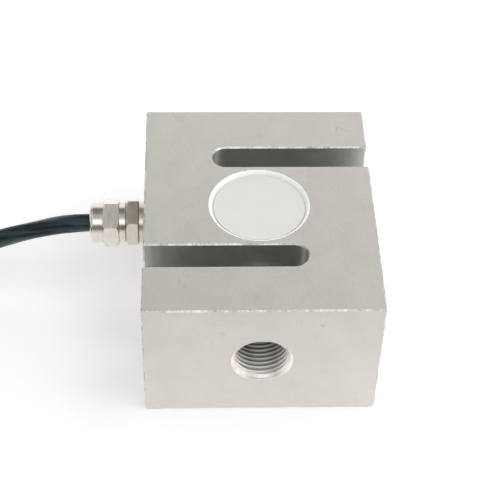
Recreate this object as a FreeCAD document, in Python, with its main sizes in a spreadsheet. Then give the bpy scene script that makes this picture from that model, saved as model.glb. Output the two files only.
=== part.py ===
import FreeCAD, Part

import math
import os
import re

import Sketcher

# S-shaped load cell for tension and compression, with its cable, as one parametric document.
# Millimetres. The cell lies on a broad face, +Z is up and the load acts along Y. The origin is
# the middle of the sensing block's underside. The cable leaves the block's -X side, drops to
# the surface that the cell lies on, and is wound into a coil there.

Vector = FreeCAD.Vector
Rotation = FreeCAD.Rotation
Placement = FreeCAD.Placement

UP = Vector(0, 0, 1)
ACROSS = Vector(1, 0, 0)
FULL_TURN = 360

# Driving dimensions, one spreadsheet row each: name, millimetres or degrees, meaning.
SIZES = [
    ("block_width", 65, "sensing block along X"),
    ("block_height", 80, "sensing block along Y, the load axis"),
    ("block_depth", 42, "sensing block along Z"),
    ("edge_break", 0.4, "chamfer on the block's outer edges"),
    ("slot_width", 8, "gap of each of the two slots that make the S"),
    ("slot_offset", 19.7, "slot's centreline from the block's middle, along Y"),
    ("slot_wall", 19.6, "metal left past a slot's closed end"),
    ("overcut", 1, "how far a cutting profile runs past the face it opens"),
    ("well_diameter", 24, "gauge well in each broad face"),
    ("cover_seat", 1.2, "ledge round the well that a cover rests on, on the radius"),
    ("cover_gap", 1.05, "between a cover's edge and the recess wall"),
    ("recess_depth", 2, "depth of the cover recess"),
    ("recess_break", 0.2, "chamfer round the cover recess"),
    ("web_thickness", 5, "shear web left between the two wells"),
    ("thread_diameter", 16, "load thread, nominal"),
    ("thread_pitch", 1.5, "load thread, pitch"),
    ("thread_mouth", 17, "countersink at the mouth of the load thread"),
    ("port_offset", 13.9, "cable port from the block's middle, along Y"),
    ("port_diameter", 9, "cable port, tapping size"),
    ("port_depth", 9, "depth of the cable port"),
    ("passage_diameter", 4.4, "drilled way from the cable port into the upper well"),
    ("passage_bearing", 148, "where the passage enters the well, in degrees from +X"),
    ("passage_height", 3, "passage's centre above the web where it enters the well"),
    ("passage_lead", 1.5, "passage's start in front of the cable port's floor"),
    ("web_hole_diameter", 2.6, "wire hole through the web"),
    ("web_hole_radius", 9.3, "wire hole from the well's axis"),
    ("web_hole_bearing", 260, "wire hole's direction in degrees from +X"),
    ("cover_thickness", 0.8, "cover disc"),
    ("label_inset", 0.4, "cover's edge to the blank label on it"),
    ("label_thickness", 0.2, "blank label"),
    ("bead_drop", 0.25, "sealant's edge below the broad face, at the recess wall"),
    ("bead_radius", 1.6, "hollow of the sealant bead"),
    ("gauge_length", 6, "strain gauge along its grid"),
    ("gauge_width", 3.2, "strain gauge across its grid"),
    ("gauge_thickness", 0.1, "strain gauge with its backing"),
    ("gauge_spacing", 7.4, "between the two gauges on one side of the web"),
    ("gauge_shift", 2.2, "gauges' centres from the well's axis, along X"),
    ("gauge_angle", 45, "grid's angle to X, in degrees"),
    ("board_clearance", 0.5, "terminal board to the well's wall"),
    ("board_flat", 4.6, "terminal board's straight edge from the well's axis"),
    ("board_thickness", 1, "terminal board"),
    ("chip_length", 2, "trimming resistor"),
    ("chip_width", 1.25, "trimming resistor"),
    ("chip_height", 0.5, "trimming resistor"),
    ("chip_offset", 4.5, "first trimming resistor from the well's axis, along Y"),
    ("chip_spacing", 1.9, "between the two trimming resistors"),
    ("chip_inset", 0.6, "trimming resistors from the board's straight edge"),
    ("bridge_wire_diameter", 0.25, "enamelled wire from a gauge to the board"),
    ("bridge_wire_rise", 1, "height of a wire's loop over the board or the web"),
    ("pad_pitch", 2, "spacing of the board's solder pads"),
    ("pad_inset", 0.75, "solder pads from the board's straight edge"),
    ("core_diameter", 1.1, "insulated core of the cable"),
    ("core_pitch", 1.3, "spacing of the cores where they enter the block"),
    ("conductor_diameter", 0.6, "tinned conductor of a core"),
    ("screen_diameter", 0.8, "bare drain wire of the cable's screen"),
    ("cable_diameter", 5.5, "cable over its jacket"),
    ("jacket_inset", 5, "jacket's inner end inside the block"),
    ("bore_clearance", 0.15, "round the cable in the gland's bores, on the radius"),
    ("spigot_length", 8, "gland's threaded spigot in the cable port"),
    ("spigot_clearance", 0.05, "spigot to port and stub to nut, on the radius"),
    ("collar_diameter", 12.4, "gland's round collar on the block"),
    ("collar_length", 2.2, "gland's round collar"),
    ("neck_diameter", 11, "groove between the collar and the gland's hexagon"),
    ("neck_length", 0.2, "groove between the collar and the gland's hexagon"),
    ("spanner_size", 13, "across flats of both hexagons"),
    ("hexagon_length", 3.55, "gland body's hexagon"),
    ("body_hexagon_bearing", 40.4, "corner of the body's hexagon above -Y, in degrees"),
    ("nut_hexagon_bearing", 30.8, "corner of the nut's hexagon above -Y, in degrees"),
    ("hexagon_chamfer", 30, "chamfer of the hexagons' corners, in degrees"),
    ("stub_diameter", 9.4, "gland body's threaded stub in the clamp nut"),
    ("stub_length", 5.4, "gland body's threaded stub"),
    ("stub_mouth", 8.2, "wide end of the cone that the seal is pressed into"),
    ("stub_mouth_depth", 1.6, "cone that the seal is pressed into"),
    ("nut_gap", 0.25, "between the gland's hexagon and the tightened clamp nut"),
    ("skirt_diameter", 12.2, "clamp nut's plain skirt"),
    ("skirt_length", 1.85, "clamp nut's plain skirt"),
    ("nut_hexagon_length", 4.75, "clamp nut's hexagon"),
    ("dome_diameter", 12.4, "clamp nut's round nose"),
    ("dome_length", 3.95, "clamp nut's round nose"),
    ("dome_round", 1.2, "rounding of the nose's rim"),
    ("nose_thickness", 1.2, "wall round the cable at the end of the clamp nut"),
    ("seal_clearance", 0.05, "gland's inner pieces end to end"),
    ("ring_thickness", 0.8, "thrust ring between the seal and the clamp nut"),
    ("o_ring_diameter", 10.8, "O-ring under the collar, to the middle of its section"),
    ("o_ring_section", 0.8, "O-ring's section"),
    ("turn_pitch", 5.6, "turn to turn of the coil, sideways and upwards"),
    ("inner_turn_radius", 21.6, "middle of the coil's innermost turns"),
    ("coil_round", 2.475, "rounding of the coil's outer shape"),
    ("lead_in", 22, "straight start of the coil's first turn"),
    ("tail_rise", 0.35, "cable's tail off the turns that it lies on"),
    ("tail_length", 150, "jacket's tail on top of the coil"),
    ("sleeve_length", 20, "shrink sleeve over the jacket's far end"),
    ("sleeve_lap", 10, "sleeve past the jacket's end"),
    ("sleeve_wall", 0.4, "shrink sleeve"),
    ("core_length", 45, "stripped cores past the jacket's end"),
    ("tip_length", 6, "tinned conductor past a core's insulation"),
    ("bundle_pitch", 1.5, "spacing of the stripped cores at the jacket's end"),
    ("bundle_gap", 0.1, "stripped cores' first bend past the jacket's end"),
    ("fan_pitch", 1.17, "stripped cores side by side on the coil"),
    ("fan_hump", 1.75, "height of the upper cores as they cross to their place"),
    ("tie_width", 3.6, "cable tie along the cable"),
    ("tie_thickness", 0.6, "cable tie"),
    ("tie_corner", 2.4, "inside corner of a tie"),
    ("tie_head", 5, "side of a tie's head"),
    ("tie_head_height", 3.4, "height of a tie's head over its strap"),
]
NAMES = {name for name, size, meaning in SIZES}
TURNS_ACROSS = 4
LAYERS = 4
TIE_BEARINGS = (-40, 100)
# The share of a run that the arc at each of its ends may take.
ARC_SHARE = 0.45

# The free cable's way down to the surface: the corners of its runs, from inside the gland's nut
# to the start of the coil.
CABLE_ROUTE = [
    Vector(-44, 13.9, 21),
    Vector(-55, 13.9, 21),
    Vector(-67, 13.4, 18.2),
    Vector(-79.5, 12.6, 14.6),
    Vector(-91.5, 12.2, 7.9),
    Vector(-103.5, 12.1, 3.35),
    Vector(-115, 12.1, 3.35),
]

# Radii of a cover disc and of the recess that it lies in.
COVER_RADIUS = "(well_diameter / 2 + cover_seat)"
RECESS_RADIUS = "(well_diameter / 2 + cover_seat + cover_gap)"

doc = FreeCAD.newDocument("LoadCell")
sheet = doc.addObject("Spreadsheet::Sheet", "Dimensions")
nodes = []


# ---------------------------------------------------------------- helpers


def fill_sheet():
    """Writes every driving dimension into a cell with an alias."""
    for row, (name, size, meaning) in enumerate(SIZES, start=1):
        sheet.set(f"A{row}", name)
        sheet.set(f"B{row}", str(size))
        sheet.set(f"C{row}", meaning)
        sheet.setAlias(f"B{row}", name)
    doc.recompute()


def value(formula):
    """The number that a formula of the sheet's names comes to."""
    return float(sheet.evalExpression(formula))


def bind(thing, path, formula):
    """Ties one property to a formula of the sheet's names."""
    words = re.sub(r"[a-z_]+", lambda word: f"Dimensions.{word[0]}" if word[0] in NAMES else word[0], formula)
    thing.setExpression(path, words)


def new_body(name):
    """An empty PartDesign body for one sub-part."""
    body = doc.addObject("PartDesign::Body", name)
    body.Label = name
    nodes.append(body)
    return body


def new_feature(name, shape):
    """A sub-part whose shape is worked out below from the sheet's values."""
    feature = doc.addObject("Part::Feature", name)
    feature.Label = name
    feature.Shape = shape
    nodes.append(feature)
    return feature


def place(thing, x="0", y="0", z="0", turn=Rotation()):
    """Puts a sub-part at a point given by formulas."""
    thing.Placement = Placement(Vector(value(x), value(y), value(z)), turn)
    for axis, formula in zip("xyz", (x, y, z)):
        bind(thing, f"Placement.Base.{axis}", formula)


def origin_feature(body, role):
    """One of a body's own origin planes or axes."""
    return next(item for item in body.Origin.OriginFeatures if item.Role == role)


def new_sketch(body, name, plane, offset="0"):
    """A sketch on a body's origin plane, moved along the plane's normal."""
    sketch = body.newObject("Sketcher::SketchObject", f"{body.Name}_{name}_sketch")
    sketch.AttachmentSupport = (origin_feature(body, plane), [""])
    sketch.MapMode = "FlatFace"
    bind(sketch, "AttachmentOffset.Base.z", offset)
    return sketch


def pin(sketch, edge, end, x, y):
    """Ties a point of a sketch to its two distances from the sketch's origin."""
    for kind, axis, formula in (("DistanceX", -2, x), ("DistanceY", -1, y)):
        amount = value(formula)
        if amount == 0:
            sketch.addConstraint(Sketcher.Constraint("PointOnObject", edge, end, axis))
            continue
        index = sketch.addConstraint(Sketcher.Constraint(kind, -1, 1, edge, end, amount))
        bind(sketch, f"Constraints[{index}]", formula)


def bind_radius(sketch, edge, formula):
    """Ties an arc's or a circle's radius to a formula."""
    index = sketch.addConstraint(Sketcher.Constraint("Radius", edge, value(formula)))
    bind(sketch, f"Constraints[{index}]", formula)


def outline(sketch, corners):
    """A closed outline of straight edges, every corner tied to its two formulas."""
    first = sketch.GeometryCount
    points = [Vector(value(x), value(y), 0) for x, y in corners]
    for start, end in zip(points, points[1:] + points[:1]):
        sketch.addGeometry(Part.LineSegment(start, end), False)
    for step, (x, y) in enumerate(corners):
        following = first + (step + 1) % len(corners)
        sketch.addConstraint(Sketcher.Constraint("Coincident", first + step, 2, following, 1))
        pin(sketch, first + step, 1, x, y)


def circle(sketch, x, y, diameter):
    """A circle tied to its centre and diameter."""
    index = sketch.addGeometry(Part.Circle(Vector(value(x), value(y), 0), UP, value(diameter) / 2), False)
    pin(sketch, index, 3, x, y)
    bind_radius(sketch, index, f"({diameter}) / 2")


def pad(body, sketch, name, length, side="One side"):
    """Pads a sketch along its normal."""
    feature = body.newObject("PartDesign::Pad", f"{body.Name}_{name}")
    feature.Profile = sketch
    feature.SideType = side
    bind(feature, "Length", length)
    return feature


def revolve(body, name, sketch, axis, kind="PartDesign::Revolution"):
    """Turns a sketch about one of its own axes, adding or, as a Groove, cutting."""
    feature = body.newObject(kind, f"{body.Name}_{name}")
    feature.Profile = sketch
    feature.ReferenceAxis = (sketch, [axis])
    feature.Angle = FULL_TURN
    return feature


def repeat(body, kind, name, original, **settings):
    """Mirrors or patterns one feature and makes the result the body's tip."""
    doc.recompute()
    feature = body.newObject(f"PartDesign::{kind}", f"{body.Name}_{name}")
    feature.Originals = [original]
    for setting, amount in settings.items():
        setattr(feature, setting, amount)
    body.Tip = feature
    doc.recompute()
    return feature


def turned(name, profile):
    """A body turned about its own X axis from (distance along, radius) corners."""
    body = new_body(name)
    sketch = new_sketch(body, "profile", "XY_Plane")
    outline(sketch, profile)
    revolve(body, "turning", sketch, "H_Axis")
    return body


def plate(name, length, width, thickness):
    """A flat rectangular body, centred on its own Z axis and standing on z = 0."""
    body = new_body(name)
    sketch = new_sketch(body, "outline", "XY_Plane")
    half_length, half_width = f"{length} / 2", f"{width} / 2"
    outline(sketch, [
        (f"-{half_length}", f"-{half_width}"),
        (half_length, f"-{half_width}"),
        (half_length, half_width),
        (f"-{half_length}", half_width),
    ])
    pad(body, sketch, "sheet", thickness)
    return body


def rounded_path(points):
    """Straight runs joined by the largest tangent arcs that they allow, and the arcs' radii."""
    edges, radii = [], []
    start = points[0]
    for before, corner, after in zip(points, points[1:], points[2:]):
        arriving, leaving = corner - before, after - corner
        half_turn = arriving.getAngle(leaving) / 2
        setback = ARC_SHARE * min(arriving.Length, leaving.Length)
        radius = setback / math.tan(half_turn)
        arriving.normalize()
        leaving.normalize()
        inwards = (leaving - arriving).normalize()
        middle = corner + inwards * (radius / math.cos(half_turn) - radius)
        arc_start, arc_end = corner - arriving * setback, corner + leaving * setback
        edges.append(Part.LineSegment(start, arc_start).toShape())
        edges.append(Part.Arc(arc_start, middle, arc_end).toShape())
        radii.append(radius)
        start = arc_end
    edges.append(Part.LineSegment(start, points[-1]).toShape())
    return Part.Wire(edges), radii


def tube(points, diameter):
    """A round solid along a rounded path."""
    path, radii = rounded_path(points)
    section = Part.Wire(Part.Circle(points[0], points[1] - points[0], diameter / 2).toShape())
    return path.makePipeShell([section], True, False)


# ---------------------------------------------------------------- sensing block


def cut_slots(body):
    """The two round-ended slots, each open on its own side of the block."""
    sketch = new_sketch(body, "slot", "XY_Plane")
    radius = value("slot_width / 2")
    centre = Vector(value("-block_width / 2 + slot_wall + slot_width / 2"), value("slot_offset"), 0)
    mouth = value("block_width / 2 + overcut")
    side = Vector(0, radius, 0)
    far = Vector(mouth - centre.x, 0, 0)
    arc = Part.ArcOfCircle(Part.Circle(centre, UP, radius), math.pi / 2, 3 * math.pi / 2)
    sketch.addGeometry(Part.LineSegment(centre + far + side, centre + side), False)
    sketch.addGeometry(arc, False)
    sketch.addGeometry(Part.LineSegment(centre - side, centre + far - side), False)
    sketch.addGeometry(Part.LineSegment(centre + far - side, centre + far + side), False)
    sketch.addConstraint(Sketcher.Constraint("Tangent", 0, 2, 1, 1))
    sketch.addConstraint(Sketcher.Constraint("Tangent", 1, 2, 2, 1))
    sketch.addConstraint(Sketcher.Constraint("Coincident", 2, 2, 3, 1))
    sketch.addConstraint(Sketcher.Constraint("Coincident", 3, 2, 0, 1))
    sketch.addConstraint(Sketcher.Constraint("Horizontal", 0))
    sketch.addConstraint(Sketcher.Constraint("Vertical", 3))
    pin(sketch, 1, 3, "-block_width / 2 + slot_wall + slot_width / 2", "slot_offset")
    bind_radius(sketch, 1, "slot_width / 2")
    index = sketch.addConstraint(Sketcher.Constraint("DistanceX", -1, 1, 3, 1, mouth))
    bind(sketch, f"Constraints[{index}]", "block_width / 2 + overcut")
    slot = body.newObject("PartDesign::Pocket", "sensing_block_slot")
    slot.Profile = sketch
    slot.Type = "ThroughAll"
    slot.SideType = "Symmetric"
    return repeat(body, "PolarPattern", "slots", slot,
                  Axis=(origin_feature(body, "Z_Axis"), [""]), Angle=FULL_TURN, Occurrences=2)


def break_edges(body, base):
    """Chamfers the outer edges, without the lines where a slot's flat walls run into its round end."""
    half_width = value("block_width / 2")
    names = []
    for number, edge in enumerate(base.Shape.Edges, start=1):
        upright = abs(edge.tangentAt(edge.FirstParameter).z) > 0.5
        if not upright or abs(abs(edge.CenterOfMass.x) - half_width) < 1e-6:
            names.append(f"Edge{number}")
    chamfer = body.newObject("PartDesign::Chamfer", "sensing_block_edges")
    chamfer.Base = (base, names)
    bind(chamfer, "Size", "edge_break")
    doc.recompute()


def cut_wells(body):
    """The stepped recess and gauge well in each broad face, which leave the shear web."""
    sketch = new_sketch(body, "well", "XZ_Plane")
    rim = "block_depth / 2"
    outline(sketch, [
        ("0", "web_thickness / 2"),
        ("well_diameter / 2", "web_thickness / 2"),
        ("well_diameter / 2", f"{rim} - recess_depth"),
        (RECESS_RADIUS, f"{rim} - recess_depth"),
        (RECESS_RADIUS, f"{rim} - recess_break"),
        (f"{RECESS_RADIUS} + recess_break + overcut", f"{rim} + overcut"),
        ("0", f"{rim} + overcut"),
    ])
    well = revolve(body, "well", sketch, "V_Axis", "PartDesign::Groove")
    repeat(body, "Mirrored", "wells", well, MirrorPlane=(origin_feature(body, "XY_Plane"), [""]))


def cut_load_threads(body):
    """The tapped, countersunk hole in each end, run through into the slot behind it."""
    sketch = new_sketch(body, "thread", "XZ_Plane", "block_height / 2")
    circle(sketch, "0", "0", "thread_diameter")
    doc.recompute()
    hole = body.newObject("PartDesign::Hole", "sensing_block_thread")
    hole.Profile = sketch
    doc.recompute()
    hole.DepthType = "Dimension"
    hole.DrillPoint = "Flat"
    bind(hole, "Diameter", "thread_diameter - 1.0825 * thread_pitch")
    bind(hole, "Depth", "block_height / 2 - slot_offset")
    hole.HoleCutType = "Countersink"
    hole.HoleCutCustomValues = True
    hole.HoleCutCountersinkAngle = 90
    bind(hole, "HoleCutDiameter", "thread_mouth")
    repeat(body, "Mirrored", "threads", hole, MirrorPlane=(origin_feature(body, "XZ_Plane"), [""]))


def drill(body, name, diameter, start, end):
    """A straight drilled hole between two points."""
    feature = body.newObject("PartDesign::SubtractiveCylinder", f"{body.Name}_{name}")
    bind(feature, "Radius", f"{diameter} / 2")
    feature.Height = (end - start).Length
    feature.Placement = Placement(start, Rotation(UP, end - start))
    return feature


def around_well(radius, bearing, height):
    """A point round the well's axis, with its height from the block's middle."""
    angle = math.radians(bearing)
    return Vector(radius * math.cos(angle), radius * math.sin(angle), height)


def passage_ends():
    """The wire passage's two ends, from inside the cable port to inside the well."""
    start = Vector(value("-block_width / 2 + port_depth - passage_lead"), value("port_offset"), 0)
    end = around_well(value("(well_diameter - passage_diameter) / 2"), value("passage_bearing"),
                      value("web_thickness / 2 + passage_height"))
    return start, end


def cut_cable_ways(body):
    """The cable port, the passage from it into the upper well, and the hole through the web."""
    sketch = new_sketch(body, "port", "YZ_Plane", "-block_width / 2")
    circle(sketch, "port_offset", "0", "port_diameter")
    port = body.newObject("PartDesign::Pocket", "sensing_block_port")
    port.Profile = sketch
    port.Reversed = True
    bind(port, "Length", "port_depth")
    drill(body, "passage", "passage_diameter", *passage_ends())
    half_web = value("web_thickness / 2 + overcut / 2")
    below, above = (
        around_well(value("web_hole_radius"), value("web_hole_bearing"), height)
        for height in (-half_web, half_web)
    )
    drill(body, "web_hole", "web_hole_diameter", below, above)


def make_block():
    """The elastic element, milled from one bar."""
    body = new_body("sensing_block")
    sketch = new_sketch(body, "blank", "XY_Plane")
    outline(sketch, [
        ("-block_width / 2", "-block_height / 2"),
        ("block_width / 2", "-block_height / 2"),
        ("block_width / 2", "block_height / 2"),
        ("-block_width / 2", "block_height / 2"),
    ])
    pad(body, sketch, "blank", "block_depth", "Symmetric")
    slots = cut_slots(body)
    break_edges(body, slots)
    cut_wells(body)
    cut_load_threads(body)
    cut_cable_ways(body)
    place(body, z="block_depth / 2")


# ---------------------------------------------------------------- covers


def make_covers():
    """The two cover discs, the blank label on the upper one and the sealant round each."""
    upright, upturned = Rotation(Vector(0, 1, 0), -90), Rotation(Vector(0, 1, 0), 90)
    for side, seat, turn in (("front", "block_depth - recess_depth", upright), ("rear", "recess_depth", upturned)):
        cover = turned(f"{side}_cover", [
            ("0", "0"),
            ("cover_thickness", "0"),
            ("cover_thickness", COVER_RADIUS),
            ("0", COVER_RADIUS),
        ])
        place(cover, z=seat, turn=turn)
        place(make_bead(f"{side}_seal_bead"), z=seat, turn=turn)
    label = turned("front_label", [
        ("0", "0"),
        ("label_thickness", "0"),
        ("label_thickness", f"({COVER_RADIUS} - label_inset)"),
        ("0", f"({COVER_RADIUS} - label_inset)"),
    ])
    place(label, z="block_depth - recess_depth + cover_thickness", turn=upright)


def make_bead(name):
    """A ring of sealant between a cover's edge and the recess wall, hollow on top."""
    body = new_body(name)
    sketch = new_sketch(body, "profile", "XY_Plane")
    inner, outer = value(COVER_RADIUS), value(RECESS_RADIUS)
    low, high = value("cover_thickness"), value("recess_depth - bead_drop")
    foot_inner, foot_outer = Vector(0, inner, 0), Vector(0, outer, 0)
    top_outer, top_inner = Vector(high, outer, 0), Vector(low, inner, 0)
    chord = top_inner - top_outer
    outwards = Vector(chord.y, -chord.x, 0).normalize()
    if outwards.x < 0:
        outwards = -outwards
    radius = value("bead_radius")
    to_centre = math.sqrt(radius**2 - (chord.Length / 2) ** 2)
    centre = (top_inner + top_outer) / 2 + outwards * to_centre
    hollow = centre - outwards * radius
    sketch.addGeometry(Part.LineSegment(foot_inner, foot_outer), False)
    sketch.addGeometry(Part.LineSegment(foot_outer, top_outer), False)
    sketch.addGeometry(Part.Arc(top_outer, hollow, top_inner), False)
    sketch.addGeometry(Part.LineSegment(top_inner, foot_inner), False)
    arc_end, arc_start = (2, 1) if sketch.Geometry[2].StartPoint.isEqual(top_outer, 1e-6) else (1, 2)
    sketch.addConstraint(Sketcher.Constraint("Coincident", 0, 2, 1, 1))
    sketch.addConstraint(Sketcher.Constraint("Coincident", 1, 2, 2, arc_start))
    sketch.addConstraint(Sketcher.Constraint("Coincident", 2, arc_end, 3, 1))
    sketch.addConstraint(Sketcher.Constraint("Coincident", 3, 2, 0, 1))
    pin(sketch, 0, 1, "0", COVER_RADIUS)
    pin(sketch, 1, 1, "0", RECESS_RADIUS)
    pin(sketch, 1, 2, "recess_depth - bead_drop", RECESS_RADIUS)
    pin(sketch, 3, 1, "cover_thickness", COVER_RADIUS)
    bind_radius(sketch, 2, "bead_radius")
    revolve(body, "ring", sketch, "H_Axis")
    return body


# ---------------------------------------------------------------- gauges and wiring


def make_gauges():
    """Two crossed shear gauges on each side of the web."""
    number = 0
    for face in ("block_depth / 2 + web_thickness / 2", "block_depth / 2 - web_thickness / 2 - gauge_thickness"):
        for side in (1, -1):
            number += 1
            gauge = plate(f"strain_gauge_{number}", "gauge_length", "gauge_width", "gauge_thickness")
            place(gauge, "gauge_shift", f"{side} * gauge_spacing / 2", face,
                  Rotation(UP, -side * value("gauge_angle")))


def make_board():
    """The terminal board on the web, a segment of a disc, with its two trimming resistors."""
    radius = "(well_diameter / 2 - board_clearance)"
    half_chord = f"sqrt({radius} * {radius} - board_flat * board_flat)"
    body = new_body("terminal_board")
    sketch = new_sketch(body, "outline", "XY_Plane")
    flat, half = value("board_flat"), value(half_chord)
    angle = math.atan2(half, flat)
    rim = Part.Circle(Vector(), UP, value(radius))
    sketch.addGeometry(Part.ArcOfCircle(rim, math.pi - angle, math.pi + angle), False)
    sketch.addGeometry(Part.LineSegment(Vector(-flat, -half, 0), Vector(-flat, half, 0)), False)
    sketch.addConstraint(Sketcher.Constraint("Coincident", 0, 2, 1, 1))
    sketch.addConstraint(Sketcher.Constraint("Coincident", 1, 2, 0, 1))
    sketch.addConstraint(Sketcher.Constraint("Coincident", 0, 3, -1, 1))
    pin(sketch, 1, 1, "-board_flat", f"-{half_chord}")
    index = sketch.addConstraint(Sketcher.Constraint("DistanceX", -1, 1, 1, 2, -flat))
    bind(sketch, f"Constraints[{index}]", "-board_flat")
    pad(body, sketch, "sheet", "board_thickness")
    place(body, z="block_depth / 2 + web_thickness / 2")
    for step, name in enumerate(("zero_resistor", "span_resistor")):
        chip = plate(name, "chip_length", "chip_width", "chip_height")
        place(chip, "-(board_flat + chip_inset + chip_length / 2)", f"chip_offset + {step} * chip_spacing",
              "block_depth / 2 + web_thickness / 2 + board_thickness")


def board_top():
    """Height of the terminal board's upper face."""
    return value("block_depth / 2 + web_thickness / 2 + board_thickness")


def make_bridge_wires():
    """Fine wires from the gauges' tabs to the board, those of the lower gauges through the web."""
    wire, rise = value("bridge_wire_diameter"), value("bridge_wire_rise")
    pitch, inset = value("pad_pitch"), value("pad_inset")
    middle = value("block_depth / 2")
    web = value("web_thickness / 2 + gauge_thickness")
    reach = value("gauge_length / 2") - 2 * wire
    hole = around_well(value("web_hole_radius"), value("web_hole_bearing"), middle)
    edge = -value("board_flat") - inset
    angle = math.radians(value("gauge_angle"))
    solids = []
    for side in (1, -1):
        along = Vector(-math.cos(angle), side * math.sin(angle), 0)
        aside = Vector(along.y, -along.x, 0)
        centre = Vector(value("gauge_shift"), side * value("gauge_spacing / 2"), 0)
        for tab in (1, -1):
            foot = centre + along * reach + aside * (tab * value("gauge_width / 4"))
            near_pad = Vector(edge, side * pitch * (1 + tab / 2), board_top())
            over = [
                Vector(foot.x, foot.y, middle + web),
                Vector(foot.x, foot.y, board_top() + rise),
                near_pad + UP * rise,
                near_pad,
            ]
            solids.append(tube(over, wire))
            way = hole.x + wire * (2 * side + tab)
            depth = middle - web - rise * (2 + side)
            far_pad = Vector(edge - inset, hole.y + pitch / 4 * (4 + 2 * side + tab), board_top())
            under = [
                Vector(foot.x, foot.y, middle - web),
                Vector(foot.x, foot.y, depth),
                Vector(way, hole.y, depth),
                Vector(way, hole.y, board_top() + 2 * rise),
                far_pad + UP * (2 * rise),
                far_pad,
            ]
            solids.append(tube(under, wire))
    new_feature("bridge_wires", Part.makeCompound(solids))


def make_inner_cores():
    """The cable's four cores from the jacket's inner end to the terminal board."""
    start, end = passage_ends()
    lift = Vector(0, 0, value("block_depth / 2"))
    run = (end - start).normalize()
    inset = value("-block_width / 2 + jacket_inset")
    half_pitch = value("core_pitch / 2")
    for name, side, level in (("red", 1, 1), ("black", -1, 1), ("green", 1, -1), ("white", -1, -1)):
        shift = Vector(0, side * half_pitch, level * half_pitch)
        column = end.x + side * value("core_pitch")
        bend = start + run * ((column - start.x) / run.x)
        pad_y = -level * value("core_pitch") - half_pitch
        route = [
            Vector(inset, start.y, start.z) + shift + lift,
            start + shift + lift,
            bend + shift + lift,
            Vector(column, pad_y, bend.z) + Vector(0, 0, shift.z) + lift,
            Vector(column, pad_y, board_top()),
        ]
        new_feature(f"inner_core_{name}", tube(route, value("core_diameter")))


# ---------------------------------------------------------------- cable gland


def hexagon_corners():
    """A hexagon's six corners with flats square to the sketch's first axis."""
    flat, half_side, corner = "spanner_size / 2", "spanner_size / 2 / sqrt(3)", "spanner_size / sqrt(3)"
    return [
        (flat, f"-{half_side}"),
        (flat, half_side),
        ("0", corner),
        (f"-{flat}", half_side),
        (f"-{flat}", f"-{half_side}"),
        ("0", f"-{corner}"),
    ]


def add_hexagon(body, start, length, chamfered_ends):
    """Pads a hexagon on a turned body and turns its corners down at the given ends."""
    sketch = new_sketch(body, "hexagon", "YZ_Plane", start)
    outline(sketch, hexagon_corners())
    pad(body, sketch, "hexagon", length)
    inner, outer = "spanner_size / 2", "(spanner_size / sqrt(3) + overcut)"
    slope = "tan(hexagon_chamfer * 1 deg)"
    sketch = new_sketch(body, "corners", "XY_Plane")
    for face, inwards in chamfered_ends:
        outline(sketch, [
            (face, inner),
            (face, outer),
            (f"{face} + {inwards} * ({outer} - {inner}) * {slope}", outer),
        ])
    revolve(body, "corners", sketch, "H_Axis", "PartDesign::Groove")


def place_on_gland(body, bearing="0"):
    """Puts a gland piece on the cable port, its X axis pointing out of the block."""
    roll = Rotation(ACROSS, 90 + value(bearing))
    outwards = Rotation(UP, 180)
    place(body, "-block_width / 2", "port_offset", "block_depth / 2", outwards.multiply(roll))


BORE = "(cable_diameter / 2 + bore_clearance)"
HEXAGON_START = "(collar_length + neck_length)"
HEXAGON_END = "(collar_length + neck_length + hexagon_length)"
STUB_END = "(collar_length + neck_length + hexagon_length + stub_length)"
NUT_START = "(collar_length + neck_length + hexagon_length + nut_gap)"
NUT_HEXAGON_START = f"({NUT_START} + skirt_length)"
NUT_HEXAGON_END = f"({NUT_HEXAGON_START} + nut_hexagon_length)"
NUT_END = f"({NUT_HEXAGON_END} + dome_length)"
NUT_SHOULDER = f"({NUT_END} - nose_thickness)"
CAVITY = "(stub_diameter / 2 + spigot_clearance)"


def make_gland_body():
    """Spigot, collar, hexagon and stub, turned from one hexagonal bar and bored for the cable."""
    groove_in = "(o_ring_diameter - o_ring_section) / 2 - seal_clearance"
    groove_out = "(o_ring_diameter + o_ring_section) / 2 + seal_clearance"
    body = turned("gland_body", [
        ("-spigot_length", BORE),
        ("-spigot_length", "port_diameter / 2 - spigot_clearance"),
        ("0", "port_diameter / 2 - spigot_clearance"),
        ("0", groove_in),
        ("o_ring_section", groove_in),
        ("o_ring_section", groove_out),
        ("0", groove_out),
        ("0", "collar_diameter / 2"),
        ("collar_length", "collar_diameter / 2"),
        ("collar_length", "neck_diameter / 2"),
        (HEXAGON_START, "neck_diameter / 2"),
        (HEXAGON_START, "spanner_size / 2"),
        (HEXAGON_END, "spanner_size / 2"),
        (HEXAGON_END, "stub_diameter / 2"),
        (STUB_END, "stub_diameter / 2"),
        (STUB_END, "stub_mouth / 2"),
        (f"{STUB_END} - stub_mouth_depth", BORE),
    ])
    sketch = new_sketch(body, "bore", "YZ_Plane", HEXAGON_START)
    add_hexagon(body, HEXAGON_START, "hexagon_length", [(HEXAGON_END, "-1")])
    circle(sketch, "0", "0", f"{BORE} * 2")
    bore = body.newObject("PartDesign::Pocket", "gland_body_bore")
    bore.Profile = sketch
    bore.Reversed = True
    bind(bore, "Length", "hexagon_length")
    place_on_gland(body, "body_hexagon_bearing")


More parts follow.
